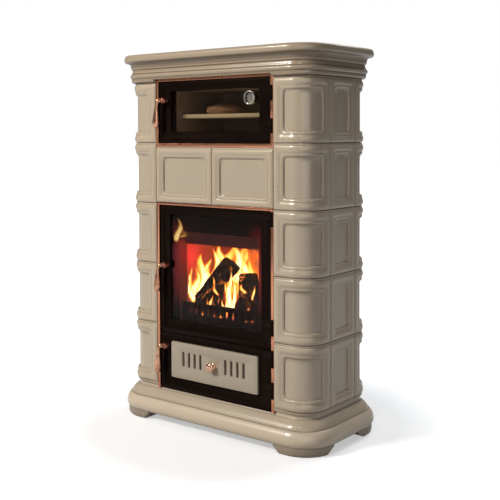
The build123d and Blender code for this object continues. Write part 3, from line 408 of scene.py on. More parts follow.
def stretched(tree, vector, upwards):
    """Coordinates that run slower upwards, so that a pattern grows long."""
    return add_node(tree, "ShaderNodeMapping", Vector=vector, Scale=(1.0, 1.0, upwards)).outputs[0]


def object_place(tree):
    return add_node(tree, "ShaderNodeTexCoord").outputs["Object"]


def mask(tree, name):
    return add_node(tree, "ShaderNodeAttribute", attribute_name=name).outputs["Fac"]


# ---- shader groups
def new_group(name, inputs, make):
    """Shader node group of plain numbers; make gives its outputs from the place and inputs."""
    group = bpy.data.node_groups.new(name, "ShaderNodeTree")
    kind = "NodeSocketFloat"
    for label, default in inputs.items():
        socket = group.interface.new_socket(name=label, in_out="INPUT", socket_type=kind)
        socket.default_value = default
    results = make(group, object_place(group), group.nodes.new("NodeGroupInput").outputs)
    for label in results:
        group.interface.new_socket(name=label, in_out="OUTPUT", socket_type=kind)
    feed_named(group, group.nodes.new("NodeGroupOutput"), results)


def crackle_effects(tree, place, given):
    """Fine crackle of a glaze, and slow waves and clouds of its thickness."""
    bend = noise_texture(tree, place, 30.0)
    bent = add_node(tree, "ShaderNodeCombineXYZ", bend, bend, bend).outputs[0]
    shift = add_node(
        tree, "ShaderNodeVectorMath", bent, (0.012, 0.012, 0.012), place, operation="MULTIPLY_ADD"
    ).outputs[0]
    distance = cell_texture(tree, shift, given["Cell scale"], "DISTANCE_TO_EDGE")
    inside = maths(tree, "DIVIDE", distance, given["Line width"], True)
    line = maths(tree, "SUBTRACT", 1.0, inside, True)
    some = rise(tree, noise_texture(tree, place, 6.0), 0.38, 4.0)
    return {
        "Crackle": times(tree, line, some),
        "Wave": noise_texture(tree, place, given["Wave scale"], 1.0, 0.4),
        "Cloud": noise_texture(tree, place, 7.0, 4.0, 0.6),
    }


def grain_effects(tree, place, given):
    """Grain of cast or fired surfaces, with soot or dust in patches."""
    return {
        "Height": noise_texture(tree, place, given["Grain scale"], 4.0, 0.65),
        "Patches": noise_texture(tree, place, given["Patch scale"], 5.0, 0.6),
    }


def tarnish_effects(tree, place, given):
    """Cloudy ageing and fine rubbing marks of polished metal."""
    clouds = noise_texture(tree, place, given["Cloud scale"], 5.0, 0.62)
    return {
        "Tarnish": times(tree, rise(tree, clouds, 0.42, 4.0), given["Amount"]),
        "Rub": noise_texture(tree, stretched(tree, place, 0.06), given["Rub scale"], 2.0),
    }


# ---- materials
def start_material(name, **sockets):
    """New material; sockets are values on the shader's own sockets."""
    material = MATERIALS[name] = bpy.data.materials.new(name)
    material.use_nodes = True
    tree = material.node_tree
    shader = tree.nodes["Principled BSDF"]
    feed_named(tree, shader, sockets)
    return tree, shader


def place_group(tree, name, **values):
    node = tree.nodes.new("ShaderNodeGroup")
    node.node_tree = bpy.data.node_groups[name]
    feed_named(tree, node, values)
    return node.outputs


def bump(tree, shader, height, strength, distance):
    relief = add_node(
        tree, "ShaderNodeBump", Strength=strength, Distance=distance, Height=height
    )
    feed(tree, shader.inputs["Normal"], relief.outputs["Normal"])


def glaze_material(name, tint, thin, patina):
    """Ivory glaze: brown in the joints and, as painted shade, over the feet and in the crown's
    cove; thinner on the crests, faintly crackled.
    """
    tree, shader = start_material(
        name, Coat_Weight=0.4, Coat_Roughness=0.07, Specular_IOR_Level=0.45
    )
    effects = place_group(
        tree, "Glaze crackle", Cell_scale=58.0, Line_width=0.022, Wave_scale=15.0
    )
    cloud, crackle, joints_and_shade = effects["Cloud"], effects["Crackle"], mask(tree, "patina")
    thick = [c * 0.86 for c in tint]
    shade = mix_colour(tree, rise(tree, cloud, 0.42, 1.1), tint, thick)
    shade = mix_colour(tree, times(tree, mask(tree, "crest"), 0.6), shade, thin)
    shade = mix_colour(tree, times(tree, crackle, 0.22), shade, patina)
    # this mask is brown joints, and painted shade on the feet and in the crown's cove
    shade = mix_colour(tree, times(tree, joints_and_shade, 0.92, True), shade, patina)
    rough = plus(tree, plus(tree, 0.24, times(tree, cloud, 0.14)), times(tree, joints_and_shade, 0.3))
    feed_named(tree, shader, {"Base Color": shade, "Roughness": rough})
    height = maths(tree, "SUBTRACT", effects["Wave"], times(tree, crackle, 0.02))
    bump(tree, shader, height, 0.45, 0.003)


def metal_material(name, bright, dark, roughness, amount, scale=25.0):
    """Polished metal, clouded and rubbed."""
    tree, shader = start_material(name, Metallic=1.0)
    effects = place_group(tree, "Metal tarnish", Cloud_scale=scale, Amount=amount)
    tarnish, rub = effects["Tarnish"], effects["Rub"]
    marks = plus(tree, times(tree, tarnish, 0.35), times(tree, rub, 0.10), False)
    shade = mix_colour(tree, tarnish, bright, dark)
    rough = plus(tree, roughness - 0.05, marks)
    feed_named(tree, shader, {"Base Color": shade, "Roughness": rough})
    bump(tree, shader, rub, 0.04, 0.0003)


def rough_material(
    name, base, patch, roughness, strength, grain=900.0, patches=18.0, reach=0.0006, gloss=0.25
):
    """Cast, painted, fired or woven surface with grain and patches of a second colour."""
    tree, shader = start_material(name, Specular_IOR_Level=gloss)
    effects = place_group(tree, "Cast grain", Grain_scale=grain, Patch_scale=patches)
    shade = mix_colour(tree, rise(tree, effects["Patches"], 0.5, 3.5), base, patch)
    rough = plus(tree, roughness - 0.12, times(tree, effects["Patches"], 0.25))
    feed_named(tree, shader, {"Base Color": shade, "Roughness": rough})
    bump(tree, shader, effects["Height"], strength, reach)
    return tree, shader


def split_place(tree):
    return add_node(tree, "ShaderNodeSeparateXYZ", object_place(tree)).outputs


def brick_material(name, glowing, painted_red_glow):
    """Firebrick with the fire's glow painted into its colour: red on one side, orange on the other.
    """
    tree, shader = start_material(name, Roughness=0.85, Specular_IOR_Level=0.1)
    effects = place_group(tree, "Cast grain", Grain_scale=420.0, Patch_scale=11.0)
    # painted firelight: red towards one side, orange towards the other
    across = times(tree, plus(tree, split_place(tree)["X"], 0.17, False), 4.6, True)
    shade = mix_colour(tree, across, painted_red_glow, glowing)
    sooty = [c * 0.55 for c in glowing]
    shade = mix_colour(tree, times(tree, effects["Patches"], 0.5, True), shade, sooty)
    feed(tree, shader.inputs["Base Color"], shade)
    bump(tree, shader, effects["Height"], 0.5, 0.0012)


def plate_material(name, dark, glow):
    """Front plate: black iron with a dull red glow painted along the sides of the fire's mouth."""
    tree, shader = rough_material(name, dark, dark, 0.6, 0.4, 900.0, 20.0, 0.0006, 0.01)
    place = split_place(tree)
    away, height = maths(tree, "ABSOLUTE", place["X"]), place["Z"]
    painted_glow_beside = times(tree, rise(tree, 0.232, away, 30.0), rise(tree, away, 0.15, 25.0))
    level = times(tree, rise(tree, height, 0.46, 8.0), rise(tree, 0.80, height, 12.0))
    # painted firelight: emitted red where the fire's light would fall on the plate
    shade = mix_colour(tree, times(tree, painted_glow_beside, level), (0, 0, 0), glow)
    feed_named(tree, shader, {"Emission Color": shade, "Emission Strength": 1.0})


def glass_material(name, tint, shade):
    """Clear pane; shade is what it leaves of the light that falls through it."""
    tree, shader = start_material(
        name, Roughness=0.0, Base_Color=tint, Transmission_Weight=1.0, IOR=1.12
    )
    clear = add_node(tree, "ShaderNodeBsdfTransparent", Color=shade)
    path = add_node(tree, "ShaderNodeLightPath").outputs
    passing = maths(tree, "MAXIMUM", path["Is Shadow Ray"], path["Is Diffuse Ray"])
    blend = add_node(tree, "ShaderNodeMixShader", passing, shader.outputs[0], clear.outputs[0])
    feed(tree, tree.nodes["Material Output"].inputs["Surface"], blend.outputs[0])


def flame_material(name, glow, hot, mid, edge):
    """Flame: hottest inside, darker outside, fading to nothing at its rim."""
    tree, shader = start_material(
        name, Roughness=1.0, Base_Color=(0, 0, 0), Specular_IOR_Level=0.0, Emission_Strength=glow
    )
    licks = noise_texture(tree, stretched(tree, object_place(tree), 0.28), 42.0, 4.0, 0.6)
    wobble = maths(tree, "MULTIPLY", maths(tree, "SUBTRACT", licks, 0.5), 1.15)
    level = plus(tree, mask(tree, "burning"), wobble)
    shade = ramp(tree, level, ((0.0, edge), (0.32, edge), (0.55, mid), (0.85, hot), (1.0, hot)))
    feed_named(tree, shader, {"Emission Color": shade, "Alpha": rise(tree, level, 0.14, 1.9)})


def char_material(name, glow_colour):
    """Charred log: black scaly bark with red cracks where it still burns."""
    tree, shader = start_material(
        name, Roughness=0.85, Specular_IOR_Level=0.1, Emission_Strength=2.2
    )
    effects = place_group(tree, "Cast grain", Grain_scale=160.0, Patch_scale=26.0)
    scales = cell_texture(tree, object_place(tree), 46.0, "DISTANCE_TO_EDGE")
    shade = mix_colour(tree, effects["Patches"], (0.004, 0.002, 0.002), (0.018, 0.008, 0.005))
    whole = maths(tree, "DIVIDE", scales, 0.06, True)
    crack = maths(tree, "SUBTRACT", 1.0, whole, True)
    heat = mask(tree, "burning")
    burning = times(tree, crack, rise(tree, heat, 0.62, 3.2), True)
    glowing = maths(tree, "MAXIMUM", burning, rise(tree, heat, 0.86, 3.0))
    glow = mix_colour(tree, glowing, (0, 0, 0), glow_colour)
    feed_named(tree, shader, {"Base Color": shade, "Emission Color": glow})
    scaly = maths(tree, "DIVIDE", scales, 0.3, True)
    bump(tree, shader, maths(tree, "ADD", effects["Height"], scaly), 0.9, 0.004)


def ember_material(name):
    """Bed of embers: ash grey and black lumps with an orange glow between them."""
    tree, shader = start_material(
        name, Roughness=0.9, Specular_IOR_Level=0.1, Emission_Strength=7.0
    )
    spots = noise_texture(tree, object_place(tree), 55.0, 4.0, 0.65)
    ash = ((0.0, (0.01, 0.008, 0.008)), (0.5, (0.05, 0.03, 0.025)), (0.75, (0.30, 0.26, 0.24)))
    glow = (
        (0.0, (1.0, 0.42, 0.08)), (0.38, (1.0, 0.20, 0.02)),
        (0.52, (0.25, 0.02, 0.0)), (0.62, (0, 0, 0)),
    )
    heat = ramp(tree, spots, glow)
    feed_named(tree, shader, {"Base Color": ramp(tree, spots, ash), "Emission Color": heat})
    bump(tree, shader, spots, 0.8, 0.004)


def dial_material(name, face, stain):
    """Thermometer's face; its marks are pieces of their own."""
    tree, shader = start_material(name, Roughness=0.4)
    spots = noise_texture(tree, object_place(tree), 90.0)
    feed(tree, shader.inputs["Base Color"], mix_colour(tree, spots, face, stain))


def build_materials():
    shades = settings("colours")
    inputs = {"Cell scale": 55.0, "Line width": 0.03, "Wave scale": 14.0}
    new_group("Glaze crackle", inputs, crackle_effects)
    new_group("Cast grain", {"Grain scale": 900.0, "Patch scale": 18.0}, grain_effects)
    inputs = {"Cloud scale": 25.0, "Amount": 0.5, "Rub scale": 320.0}
    new_group("Metal tarnish", inputs, tarnish_effects)
    glaze, thin, patina = shades.glaze, shades.glaze_worn, shades.patina
    # the cornice glaze is the tile glaze darkened 0.67 to 0.57 times: painted shade on the cornice,
    # not a glaze of its own
    painted_shade_tint = [c * k for c, k in zip(glaze, (0.67, 0.62, 0.57))]
    glaze_material("tile_glaze", glaze, thin, patina)
    # the base glaze is the tile glaze 1.3 times brighter, with a brighter thin colour: painted
    # light on the plinth, not a glaze of its own
    glaze_material("base_glaze_painted_light", [c * 1.3 for c in glaze], (0.94, 0.80, 0.62), patina)
    glaze_material("cornice_glaze_painted_shade", painted_shade_tint, thin, patina)
    # the ash panel's glaze is a darker copy of the tile glaze: painted shade
    glaze_material("panel_glaze_painted_shade", (0.56, 0.485, 0.375), (0.60, 0.51, 0.39), patina)
    for row in (
        # name, bright, dark, roughness, tarnish, cloud scale
        ("trim_copper", shades.copper, shades.copper_dark, 0.24, 0.28, 9.0),
        ("handle_copper", (0.62, 0.33, 0.21), (0.26, 0.11, 0.06), 0.20, 0.6, 40.0),
        ("aged_copper", (0.34, 0.13, 0.09), (0.14, 0.05, 0.035), 0.3, 0.7, 60.0),
        ("knob_copper", (0.86, 0.52, 0.36), (0.45, 0.22, 0.13), 0.16, 0.4, 80.0),
        ("gauge_ring_metal", (0.78, 0.74, 0.68), (0.42, 0.38, 0.34), 0.18, 0.4, 90.0),
        ("bare_steel_sheet", shades.steel, (0.14, 0.13, 0.12), 0.42, 0.6),
    ):
        metal_material(*row)
    # hot is black iron with a red tint of painted firelight, for the log guard
    hot = (0.010, 0.002, 0.0015)
    for row in (
        # name, base, patch, roughness, relief, grain scale, patch scale, relief's depth, gloss
        ("door_iron", shades.iron, (0.013, 0.0075, 0.0055), 0.34, 0.22, 1300, 14, 0.0003, 0.05),
        ("guard_iron_painted_glow", hot, (0.018, 0.004, 0.003), 0.6, 0.4, 900, 20, 0.0006, 0.01),
        # the reveal's red is painted firelight on black iron
        ("mouth_iron_painted_glow", (0.24, 0.055, 0.05), (0.15, 0.035, 0.035), 0.5, 0.25, 900, 12, 0.0005, 0.1),
        ("grate_iron_raw", (0.05, 0.042, 0.038), (0.10, 0.08, 0.07), 0.6, 0.5, 700, 30),
        ("body_paint", shades.paint, (0.035, 0.034, 0.033), 0.55, 0.18, 1600, 8, 0.0002),
        ("oven_enamel", (0.44, 0.34, 0.24), (0.32, 0.24, 0.16), 0.45, 0.10, 500, 9, 0.0003),
        ("slab_stone", shades.slab, (0.70, 0.60, 0.46), 0.65, 0.35, 600, 30, 0.0005),
        ("rope_weave", (0.07, 0.07, 0.07), (0.12, 0.12, 0.12), 0.9, 0.8, 380, 60, 0.0012),
        ("bread_crust", (0.33, 0.20, 0.13), (0.56, 0.42, 0.31), 0.75, 0.5, 160, 24, 0.002),
        ("gauge_black", (0.02, 0.02, 0.02), (0.03, 0.03, 0.03), 0.4, 0.1, 900, 20),
    ):
        rough_material(*row)
    iron = MATERIALS["door_iron"].node_tree
    feed_named(iron, iron.nodes["Principled BSDF"], {"Specular Tint": (1.0, 0.62, 0.50)})
    # the plate's red glow is painted firelight
    plate_material("plate_iron_painted_glow", (0.014, 0.0035, 0.0025), (0.16, 0.010, 0.014))
    # both firebrick colours are painted firelight
    brick_material("firebrick_lining", shades.brick, (0.33, 0.085, 0.09))
    glass_material("door_pane", (0.96, 0.93, 0.90), (0.30, 0.27, 0.25))
    glass_material("oven_pane", (0.88, 0.83, 0.76), (0.80, 0.76, 0.68))
    glass_material("gauge_lens", (0.97, 0.97, 0.97), (0.97, 0.97, 0.97))
    glow = settings("fire").glow
    flame_material("flame", glow, (1.0, 0.84, 0.40), (1.0, 0.46, 0.05), (0.85, 0.11, 0.01))
    flame_material("pale_lick", 0.8, (1.0, 0.72, 0.26), (0.86, 0.50, 0.12), (0.45, 0.16, 0.03))
    char_material("charred_log", (1.0, 0.22, 0.03))
    ember_material("ember_bed")
    dial_material("gauge_face", (0.30, 0.27, 0.22), (0.20, 0.18, 0.15))


class STOVE_OT_finishes(bpy.types.Operator):
    """Materials of every piece"""

    bl_idname = "stove.finishes"
    bl_label = "Finishes"

    def execute(self, context):
        build_materials()
        return {"FINISHED"}


# ---- geometry trees
def new_tree(name, inputs):
    """Geometry node tree with its inputs, the last of which is the finish."""
    tree = bpy.data.node_groups.new(name, "GeometryNodeTree")
    for label, kind in (("Geometry", "Geometry"), *inputs, ("Finish", "Material")):
        tree.interface.new_socket(name=label, in_out="INPUT", socket_type="NodeSocket" + kind)
    tree.interface.new_socket(
        name="Geometry", in_out="OUTPUT", socket_type="NodeSocketGeometry"
    )
    return tree, tree.nodes.new("NodeGroupInput").outputs


def end_tree(tree, given, **instances):
    """Puts instances on points, makes them real and gives them their finish."""
    copies = add_node(tree, "GeometryNodeInstanceOnPoints", **instances)
    solid = add_node(tree, "GeometryNodeRealizeInstances", copies.outputs[0])
    painted = add_node(
        tree, "GeometryNodeSetMaterial", solid.outputs[0], Material=given["Finish"]
    )
    add_node(tree, "NodeGroupOutput", painted.outputs[0])
    return tree


def repeat_tree():
    """Geometry nodes: copies of a piece in a row, each turned on about a front-to-back axis."""
    tree, given = new_tree(
        "Repeat a piece",
        (
            ("Count", "Int"), ("Offset", "Vector"), ("Centre", "Vector"),
            ("Arc", "Float"), ("First angle", "Float"),
        ),
    )
    row = add_node(
        tree, "GeometryNodeMeshLine", mode="OFFSET",
        Count=given["Count"], Start_Location=given["Centre"], Offset=given["Offset"],
    )
    index = add_node(tree, "GeometryNodeInputIndex").outputs[0]
    share = maths(tree, "DIVIDE", index, given["Count"])
    on = maths(tree, "MULTIPLY", share, given["Arc"])
    turn = maths(tree, "ADD", on, given["First angle"])
    angle = add_node(tree, "ShaderNodeCombineXYZ", Y=turn).outputs[0]
    return end_tree(
        tree, given, Points=row.outputs[0], Instance=given["Geometry"], Rotation=angle
    )


def run_tree(piece, tree, material, smooth=None, **values):
    """Gives a tree its inputs by socket identifier and leaves a plain mesh."""
    sockets = {
        item.name: item.identifier for item in tree.interface.items_tree if item.in_out == "INPUT"
    }
    repeat = piece.modifiers.new("Build", "NODES")
    repeat.node_group = tree
    for key, value in (*values.items(), ("Finish", MATERIALS[material])):
        repeat[sockets[key.replace("_", " ")]] = value
    plain(piece)
    if smooth:
        piece.data.set_sharp_from_angle(angle=math.radians(smooth))


# ---- tiles
# distances from a tile's edge, in mm before scaling: lines of its grid, then parts of its face
FRAME_MARKS = (
    0, 0.4, 1, 1.8, 3, 4.6, 6.2, 6.8, 7.2, 7.8, 9, 11, 13.5, 16, 18.5, 21, 23.5, 26,
    28, 29.3, 30, 30.7, 32, 34, 36, 38, 40, 41.5, 42.6, 43.6, 45, 48, 53,
)
LIP_BAND = 7.0
BEAD_END = 30.0
FIELD_START = 43.0
BACK_OF_TILE = -28.0
BACK_OF_FRONT_TILE = -21.0


def near(distance, reach):
    """1 at no distance, falling to 0 at the reach."""
    return max(0.0, 1 - distance / reach)


def soft_min(a, b, soft):
    """Smaller of two distances, with the corner between them rounded."""
    reach = min(soft, 0.9 * (a + b) / 2)
    if reach <= 0:
        return min(a, b)
    overlap = max(reach - abs(a - b), 0) / reach
    return min(a, b) - overlap * overlap * reach / 4


def tile_relief(left, right, below, above, scale, crest, lip, soft, sink):
    """(height, patina, crest mask) of a tile's face; distances to its four edges in mm."""
    edge = min(left, right, below, above)
    rounding = math.sqrt(max(0.0, 1 - near(edge, 1.8) ** 2))
    joint = near(edge, 1.6)
    if above < LIP_BAND:
        groove = near(LIP_BAND - above, 0.7)
        return lip * rounding - 1.0 * groove, max(joint, 0.75 * groove), 0.35
    t = soft_min(soft_min(left, right, soft), soft_min(below, above - LIP_BAND + 1.2, soft), soft)
    t = t / scale
    groove = near(abs(t - BEAD_END), 0.9)
    start = near(max(0.0, above - LIP_BAND), 0.8)
    if t < BEAD_END:
        arch = math.sin(math.pi * min(1.0, max(0.0, t + 1.2) / (BEAD_END + 1.2))) ** 0.62
        height = (lip - 1.6) + (crest - lip + 1.6) * arch
        if t > 20:
            height = max(height, lip + 1.2)
        height = height * rounding if edge < 1.8 else height
    elif t < FIELD_START:
        fall = (t - BEAD_END) / (FIELD_START - BEAD_END)
        height = (lip + 1.4 + sink) * math.sqrt(max(0.0, 1 - fall**2.8)) - sink
    else:
        height = -sink
    foot = near(abs(t - FIELD_START), 1.6)
    thin = max(0.0, min(1.0, (height - 6.0) / 3.5))
    return height - 1.1 * groove, max(joint, 0.4 * groove, 0.5 * foot, 0.7 * start), thin


def steps_across(span, scale, coarse):
    """Places along one side of a tile: close together on the frame, wide apart on the field."""
    marks = [mark * scale for mark in FRAME_MARKS if mark * scale < span / 2 - 1]
    start, end = marks[-1], span - marks[-1]
    count = max(1, round((end - start) / coarse))
    inner = [start + (end - start) * i / count for i in range(1, count)]
    return marks + inner + [span - mark for mark in reversed(marks)]


def make_tile(name, place, span, bottom, height, scale=1.0, coarse=6.0, back=BACK_OF_TILE):
    """Closed tile: place(along, out) gives X and Y in mm; heights are in mm."""
    sizes = settings("tiles")
    profile = [value / MM for value in (sizes.crest, sizes.lip, sizes.field_corner, sizes.sink)]
    across = steps_across(span, scale, coarse)
    upright = steps_across(height, scale, 14.0)
    verts, patina, crests = [], [], []
    for along in across:
        for rise_up in upright:
            out, dark, thin = tile_relief(
                along, span - along, rise_up, height - rise_up, scale, *profile
            )
            verts.append((*place(along, out), bottom + rise_up))
            patina.append(dark)
            crests.append(thin)
    many = len(upright)
    starts = [many * i for i in range(len(across))]
    faces = [
        (a + i, b + i, b + i + 1, a + i + 1)
        for a, b in zip(starts, starts[1:])
        for i in range(many - 1)
    ]
    low = [len(verts) + 2 * i for i in range(len(across))]
    for along in across:
        verts.extend((*place(along, back), level) for level in (bottom, bottom + height))
        patina.extend((1.0, 1.0))
        crests.extend((0.0, 0.0))
    for a, b, c, d in zip(starts, starts[1:], low, low[1:]):
        faces.append((a, b, d, c))
        faces.append((a + many - 1, b + many - 1, d + 1, c + 1))
        faces.append((c, d, d + 1, c + 1))
    for a, c in ((starts[0], low[0]), (starts[-1], low[-1])):
        faces.append((*range(a, a + many), c + 1, c))
    return make_piece(name, verts, faces, "tile_glaze", 50, patina=patina, crest=crests)


def corner_place(side, end, leg):
    """Maps (run, out) round a corner to X and Y in mm, and the run at which the side starts."""
    sizes = settings("tiles")
    half, rear, radius = sizes.half_width / MM, sizes.depth / MM / 2, sizes.corner_radius / MM
    straight = leg - radius
    bent = straight + radius * math.pi / 2

    def place(run, out):
        if run <= straight:
            return side * (half - leg + run), end * (rear + out)
        if run <= bent:
            turn = (run - straight) / radius
            across = half - radius + (radius + out) * math.sin(turn)
            return side * across, end * (rear - radius + (radius + out) * math.cos(turn))
        return side * (half + out), end * (rear - radius - (run - bent))

    return place, bent


class STOVE_OT_tiles(bpy.types.Operator):
    """Glazed tiles of the corners, the sides and the front"""

    bl_idname = "stove.tiles"
    bl_label = "Tiles"

    def execute(self, context):
        sizes = settings("tiles")
        gap = sizes.joint / MM
        half, rear = sizes.half_width / MM, sizes.depth / MM / 2
        height = sizes.course_height / MM - gap
        bottom = sizes.lowest_course / MM + gap / 2
        side_span = (sizes.depth - 2 * sizes.corner_reach) / MM - gap
        beyond_bend = (sizes.corner_reach - sizes.corner_radius) / MM
        tree = repeat_tree()

        def stack(node, place, span, **grid):
            column = make_tile(node + "_glazed", place, span, bottom, height, **grid)
            offset = (0, 0, sizes.course_height)
            run_tree(column, tree, "tile_glaze", 50, Count=sizes.courses, Offset=offset)
            settle(column, "stove_body", node, slot="glazed_tile")

        for side, side_name in SIDES:
            for end, end_name in ENDS:
                place, bent = corner_place(side, end, sizes.corner_leg / MM)
                stack(
                    f"corner_tiles_{end_name}_{side_name}",
                    lambda along, out: place(along + gap / 2, out),
                    bent + beyond_bend - gap,
                )
        for side, side_name in SIDES:
            stack(
                f"side_tiles_{side_name}",
                lambda along, out: (side * (half + out), side_span / 2 - along),
                side_span, scale=0.86, coarse=20.0,
            )
        low, high = ([value / MM for value in corner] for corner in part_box("front_tiles"))
        pair = make_tile(
            "front_tiles_glazed", lambda along, out: (low[0] + along, -rear - out),
            high[0] - gap / 2, low[2], high[2] - low[2], 0.84, 20.0, BACK_OF_FRONT_TILE,
        )
        offset = ((gap / 2 - low[0]) * MM, 0, 0)
        run_tree(pair, tree, "tile_glaze", 50, Count=2, Offset=offset)
        settle(pair, "stove_body", "front_tiles", slot="glazed_tile")
        return {"FINISHED"}


# ---- mouldings and feet
DOOR_RECESS = 28.3  # depth behind the wall line, in mm, to which the doors' opening is cut
# Sections as (out, height, patina, crest) in mm; masks that are left out are 0.
PLINTH = (
    (29.8, 88.9, 1), (31.4, 88.6, 0.4), (34.6, 86.4, 0.1), (38.4, 82.6, 0, 0.3),
    (41.8, 78.0, 0, 0.5), (44.8, 73.0, 0, 0.7), (47.2, 67.4, 0, 0.8), (48.9, 61.4, 0, 0.6),
    (49.8, 55.4, 0, 0.3),
    (49.7, 49.4, 0, 0.1), (48.6, 43.8), (46.6, 38.6, 0.05), (44.0, 34.6, 0.15), (42.0, 32.1, 0.6),
    (-39.9, 32.1, 1), (-39.9, 88.9, 1),
)
STEP = (
    (4.9, 147.4, 1), (4.9, 146.2, 0.5), (4.8, 141.4, 0.1), (4.3, 139.6, 0.2), (2.0, 138.0, 0.3),
    (-0.6, 136.0, 0.2), (-2.2, 133.6, 0.1), (-2.9, 130.6), (-2.6, 127.0), (-1.2, 124.0, 0.1),
    (1.2, 121.6, 0.3), (2.4, 120.8, 0.6), (3.8, 119.4, 0, 0.3), (8.2, 116.4, 0, 0.5),
    (12.6, 113.0, 0, 0.6), (16.8, 109.2, 0, 0.6), (20.8, 105.0, 0, 0.5), (24.2, 100.4, 0, 0.4),
    (27.0, 95.6, 0, 0.2), (29.0, 91.2, 0.1), (29.6, 90.0, 0.4), (29.8, 89.1, 1), (-39.9, 89.1, 1),
    (-39.9, 147.4, 1),
)
NECK = (
    (13.6, 1340.1, 1), (15.6, 1341.0, 0.4), (17.8, 1342.6, 0, 0.2), (19.6, 1344.8, 0, 0.3),
    (20.3, 1347.0, 0, 0.3), (20.5, 1352.0, 0, 0.1), (20.3, 1356.6, 0.55), (21.2, 1357.6, 0.3),
    (23.6, 1359.4, 0, 0.3), (25.6, 1362.6, 0, 0.6), (26.4, 1366.4, 0, 0.8), (26.0, 1369.8, 0, 0.6),
    (24.6, 1372.6, 0, 0.2), (22.6, 1374.4, 0.2), (20.6, 1375.4, 1), (-39.9, 1375.4, 1),
    (-39.9, 1340.1, 1),
)
# from 1402 to 1421 mm the patina fills the cove under the crown's nose: brown in its groove, and
# painted shade under the overhang
CROWN = (
    (19.6, 1375.7, 1), (20.2, 1376.6, 0.6), (20.0, 1378.6, 0, 0.3), (18.4, 1382.0, 0, 0.2),
    (17.2, 1386.0), (16.6, 1390.2, 0.1), (16.6, 1392.0, 0.6), (17.4, 1392.7, 0.4),
    (20.4, 1393.8, 0, 0.2), (22.0, 1395.6, 0, 0.4), (22.6, 1398.2, 0, 0.4), (22.7, 1401.4, 0.5),
    (23.2, 1402.4, 0.6), (23.8, 1406.0, 0.3), (25.0, 1410.4, 0.3), (27.0, 1414.6, 0.3),
    (29.4, 1417.8, 0.4), (31.8, 1419.8, 0.5), (34.0, 1420.4, 0.4), (41.0, 1420.9, 0.2),
    (44.6, 1421.6, 0, 0.2), (47.4, 1423.6, 0, 0.5), (49.2, 1427.0, 0, 0.7), (49.95, 1431.6, 0, 0.8),
    (49.8, 1437.0, 0, 0.7), (48.6, 1442.0, 0, 0.6), (46.2, 1446.4, 0, 0.5), (43.0, 1449.0, 0, 0.5),
    (39.6, 1449.9, 0, 0.3), (20.0, 1449.9), (-22.0, 1449.9), (-24.2, 1449.2, 0, 0.4),
    (-24.9, 1447.4, 0.2), (-24.9, 1430.2, 1), (-39.9, 1430.2, 1), (-39.9, 1375.7, 1),
)


def outline(out, bend_steps=16):
    """Plan of the body at some distance outside its wall line, in mm, anticlockwise."""
    sizes = settings("tiles")
    radius = sizes.corner_radius / MM
    across, rearwards = sizes.half_width / MM - radius, sizes.depth / MM / 2 - radius
    points = []
    for quarter, (x, y) in enumerate(((1, -1), (1, 1), (-1, 1), (-1, -1))):
        for step in range(bend_steps + 1):
            turn = math.radians(90 * (quarter - 1) + 90 * step / bend_steps)
            reach = radius + out
            points.append(
                (x * across + reach * math.cos(turn), y * rearwards + reach * math.sin(turn))
            )
    return points


def sweep_ring(node, section, material, cut=None):
    """Closed ring round the body; cut gives the heights between which its front is open."""
    verts, patina, crests = [], [], []
    for out, height, *masks in section:
        dark, thin = (*masks, 0, 0)[:2]
        points = outline(out)
        verts.extend((x, y, height) for x, y in points)
        patina.extend([dark] * len(points))
        crests.extend([thin] * len(points))
    faces = grid_faces(len(section), len(outline(0)), closed=True)
    ring = make_piece(node + "_glazed", verts, faces, material, 28, patina=patina, crest=crests)
    if cut:
        sizes = settings("tiles")
        half = (sizes.half_width - sizes.corner_leg) / MM
        front = front_line()
        low, high = cut
        well_clear = front - 60
        carve(ring, (-half, well_clear, low), (half, front + DOOR_RECESS, high), material, 28)
    settle(ring, "stove_body", node, slot="glazed_tile")


def add_foot(node, side, end, reach, side_rise):
    """Short moulded foot round a corner; its ends sweep up into the plinth."""
    leg = 136.0
    place, bent = corner_place(side, end, leg)
    total = bent + max(0.0, reach - settings("tiles").corner_radius / MM)
    top, front_rise, sweep, steps = 31.9, 24.0, 21.0, 65
    section = (
        (42.6, 1.0), (42.8, 0.72), (42.4, 0.42), (41.2, 0.22),
        (38.8, 0.09), (35.6, 0.0), (-58.0, 0.0), (-58.0, 1.0),
    )
    verts = []
    for step in range(steps):
        run = total * step / (steps - 1)
        lift = 0.0
        for distance, stretch in ((run, front_rise), (total - run, side_rise)):
            u = min(1.0, distance / stretch)
            lift = max(lift, sweep * (1 - u * u * (3 - 2 * u)))
        verts.extend((*place(run, out), lift + (top - lift) * level) for out, level in section)
    faces = grid_faces(steps, len(section)) + end_caps(steps, len(section))
    # 0.42 of the patina brown over the whole foot: painted shade, not a stain
    masks = {"patina": [0.42] * len(verts), "crest": [0.0] * len(verts)}
    foot = make_piece(node + "_glazed", verts, faces, "tile_glaze", 35, **masks)
    settle(foot, "stove_body", node, slot="glazed_tile")


class STOVE_OT_mouldings(bpy.types.Operator):
    """Base plinth and step, cornice neck and crown, and the feet"""

    bl_idname = "stove.mouldings"
    bl_label = "Mouldings and feet"

    def execute(self, context):
        # the plinth takes the brightened copy of the glaze: painted light
        sweep_ring("base_plinth", PLINTH, "base_glaze_painted_light")
        sweep_ring("base_step", STEP, "tile_glaze", (127.7, 160))
        # neck and crown take the darkened copy of the glaze: painted shade
        sweep_ring("cornice_neck", NECK, "cornice_glaze_painted_shade", (1300, 1350.6))
        sweep_ring("cornice_crown", CROWN, "cornice_glaze_painted_shade")
        refine("top_slab", "slab_stone", 1.2, "shelf_stone")
        for side, side_name in SIDES:
            add_foot("foot_front_" + side_name, side, -1, 84.0, 24.0)
            add_foot("foot_rear_" + side_name, side, 1, 144.0, 52.0)
        return {"FINISHED"}


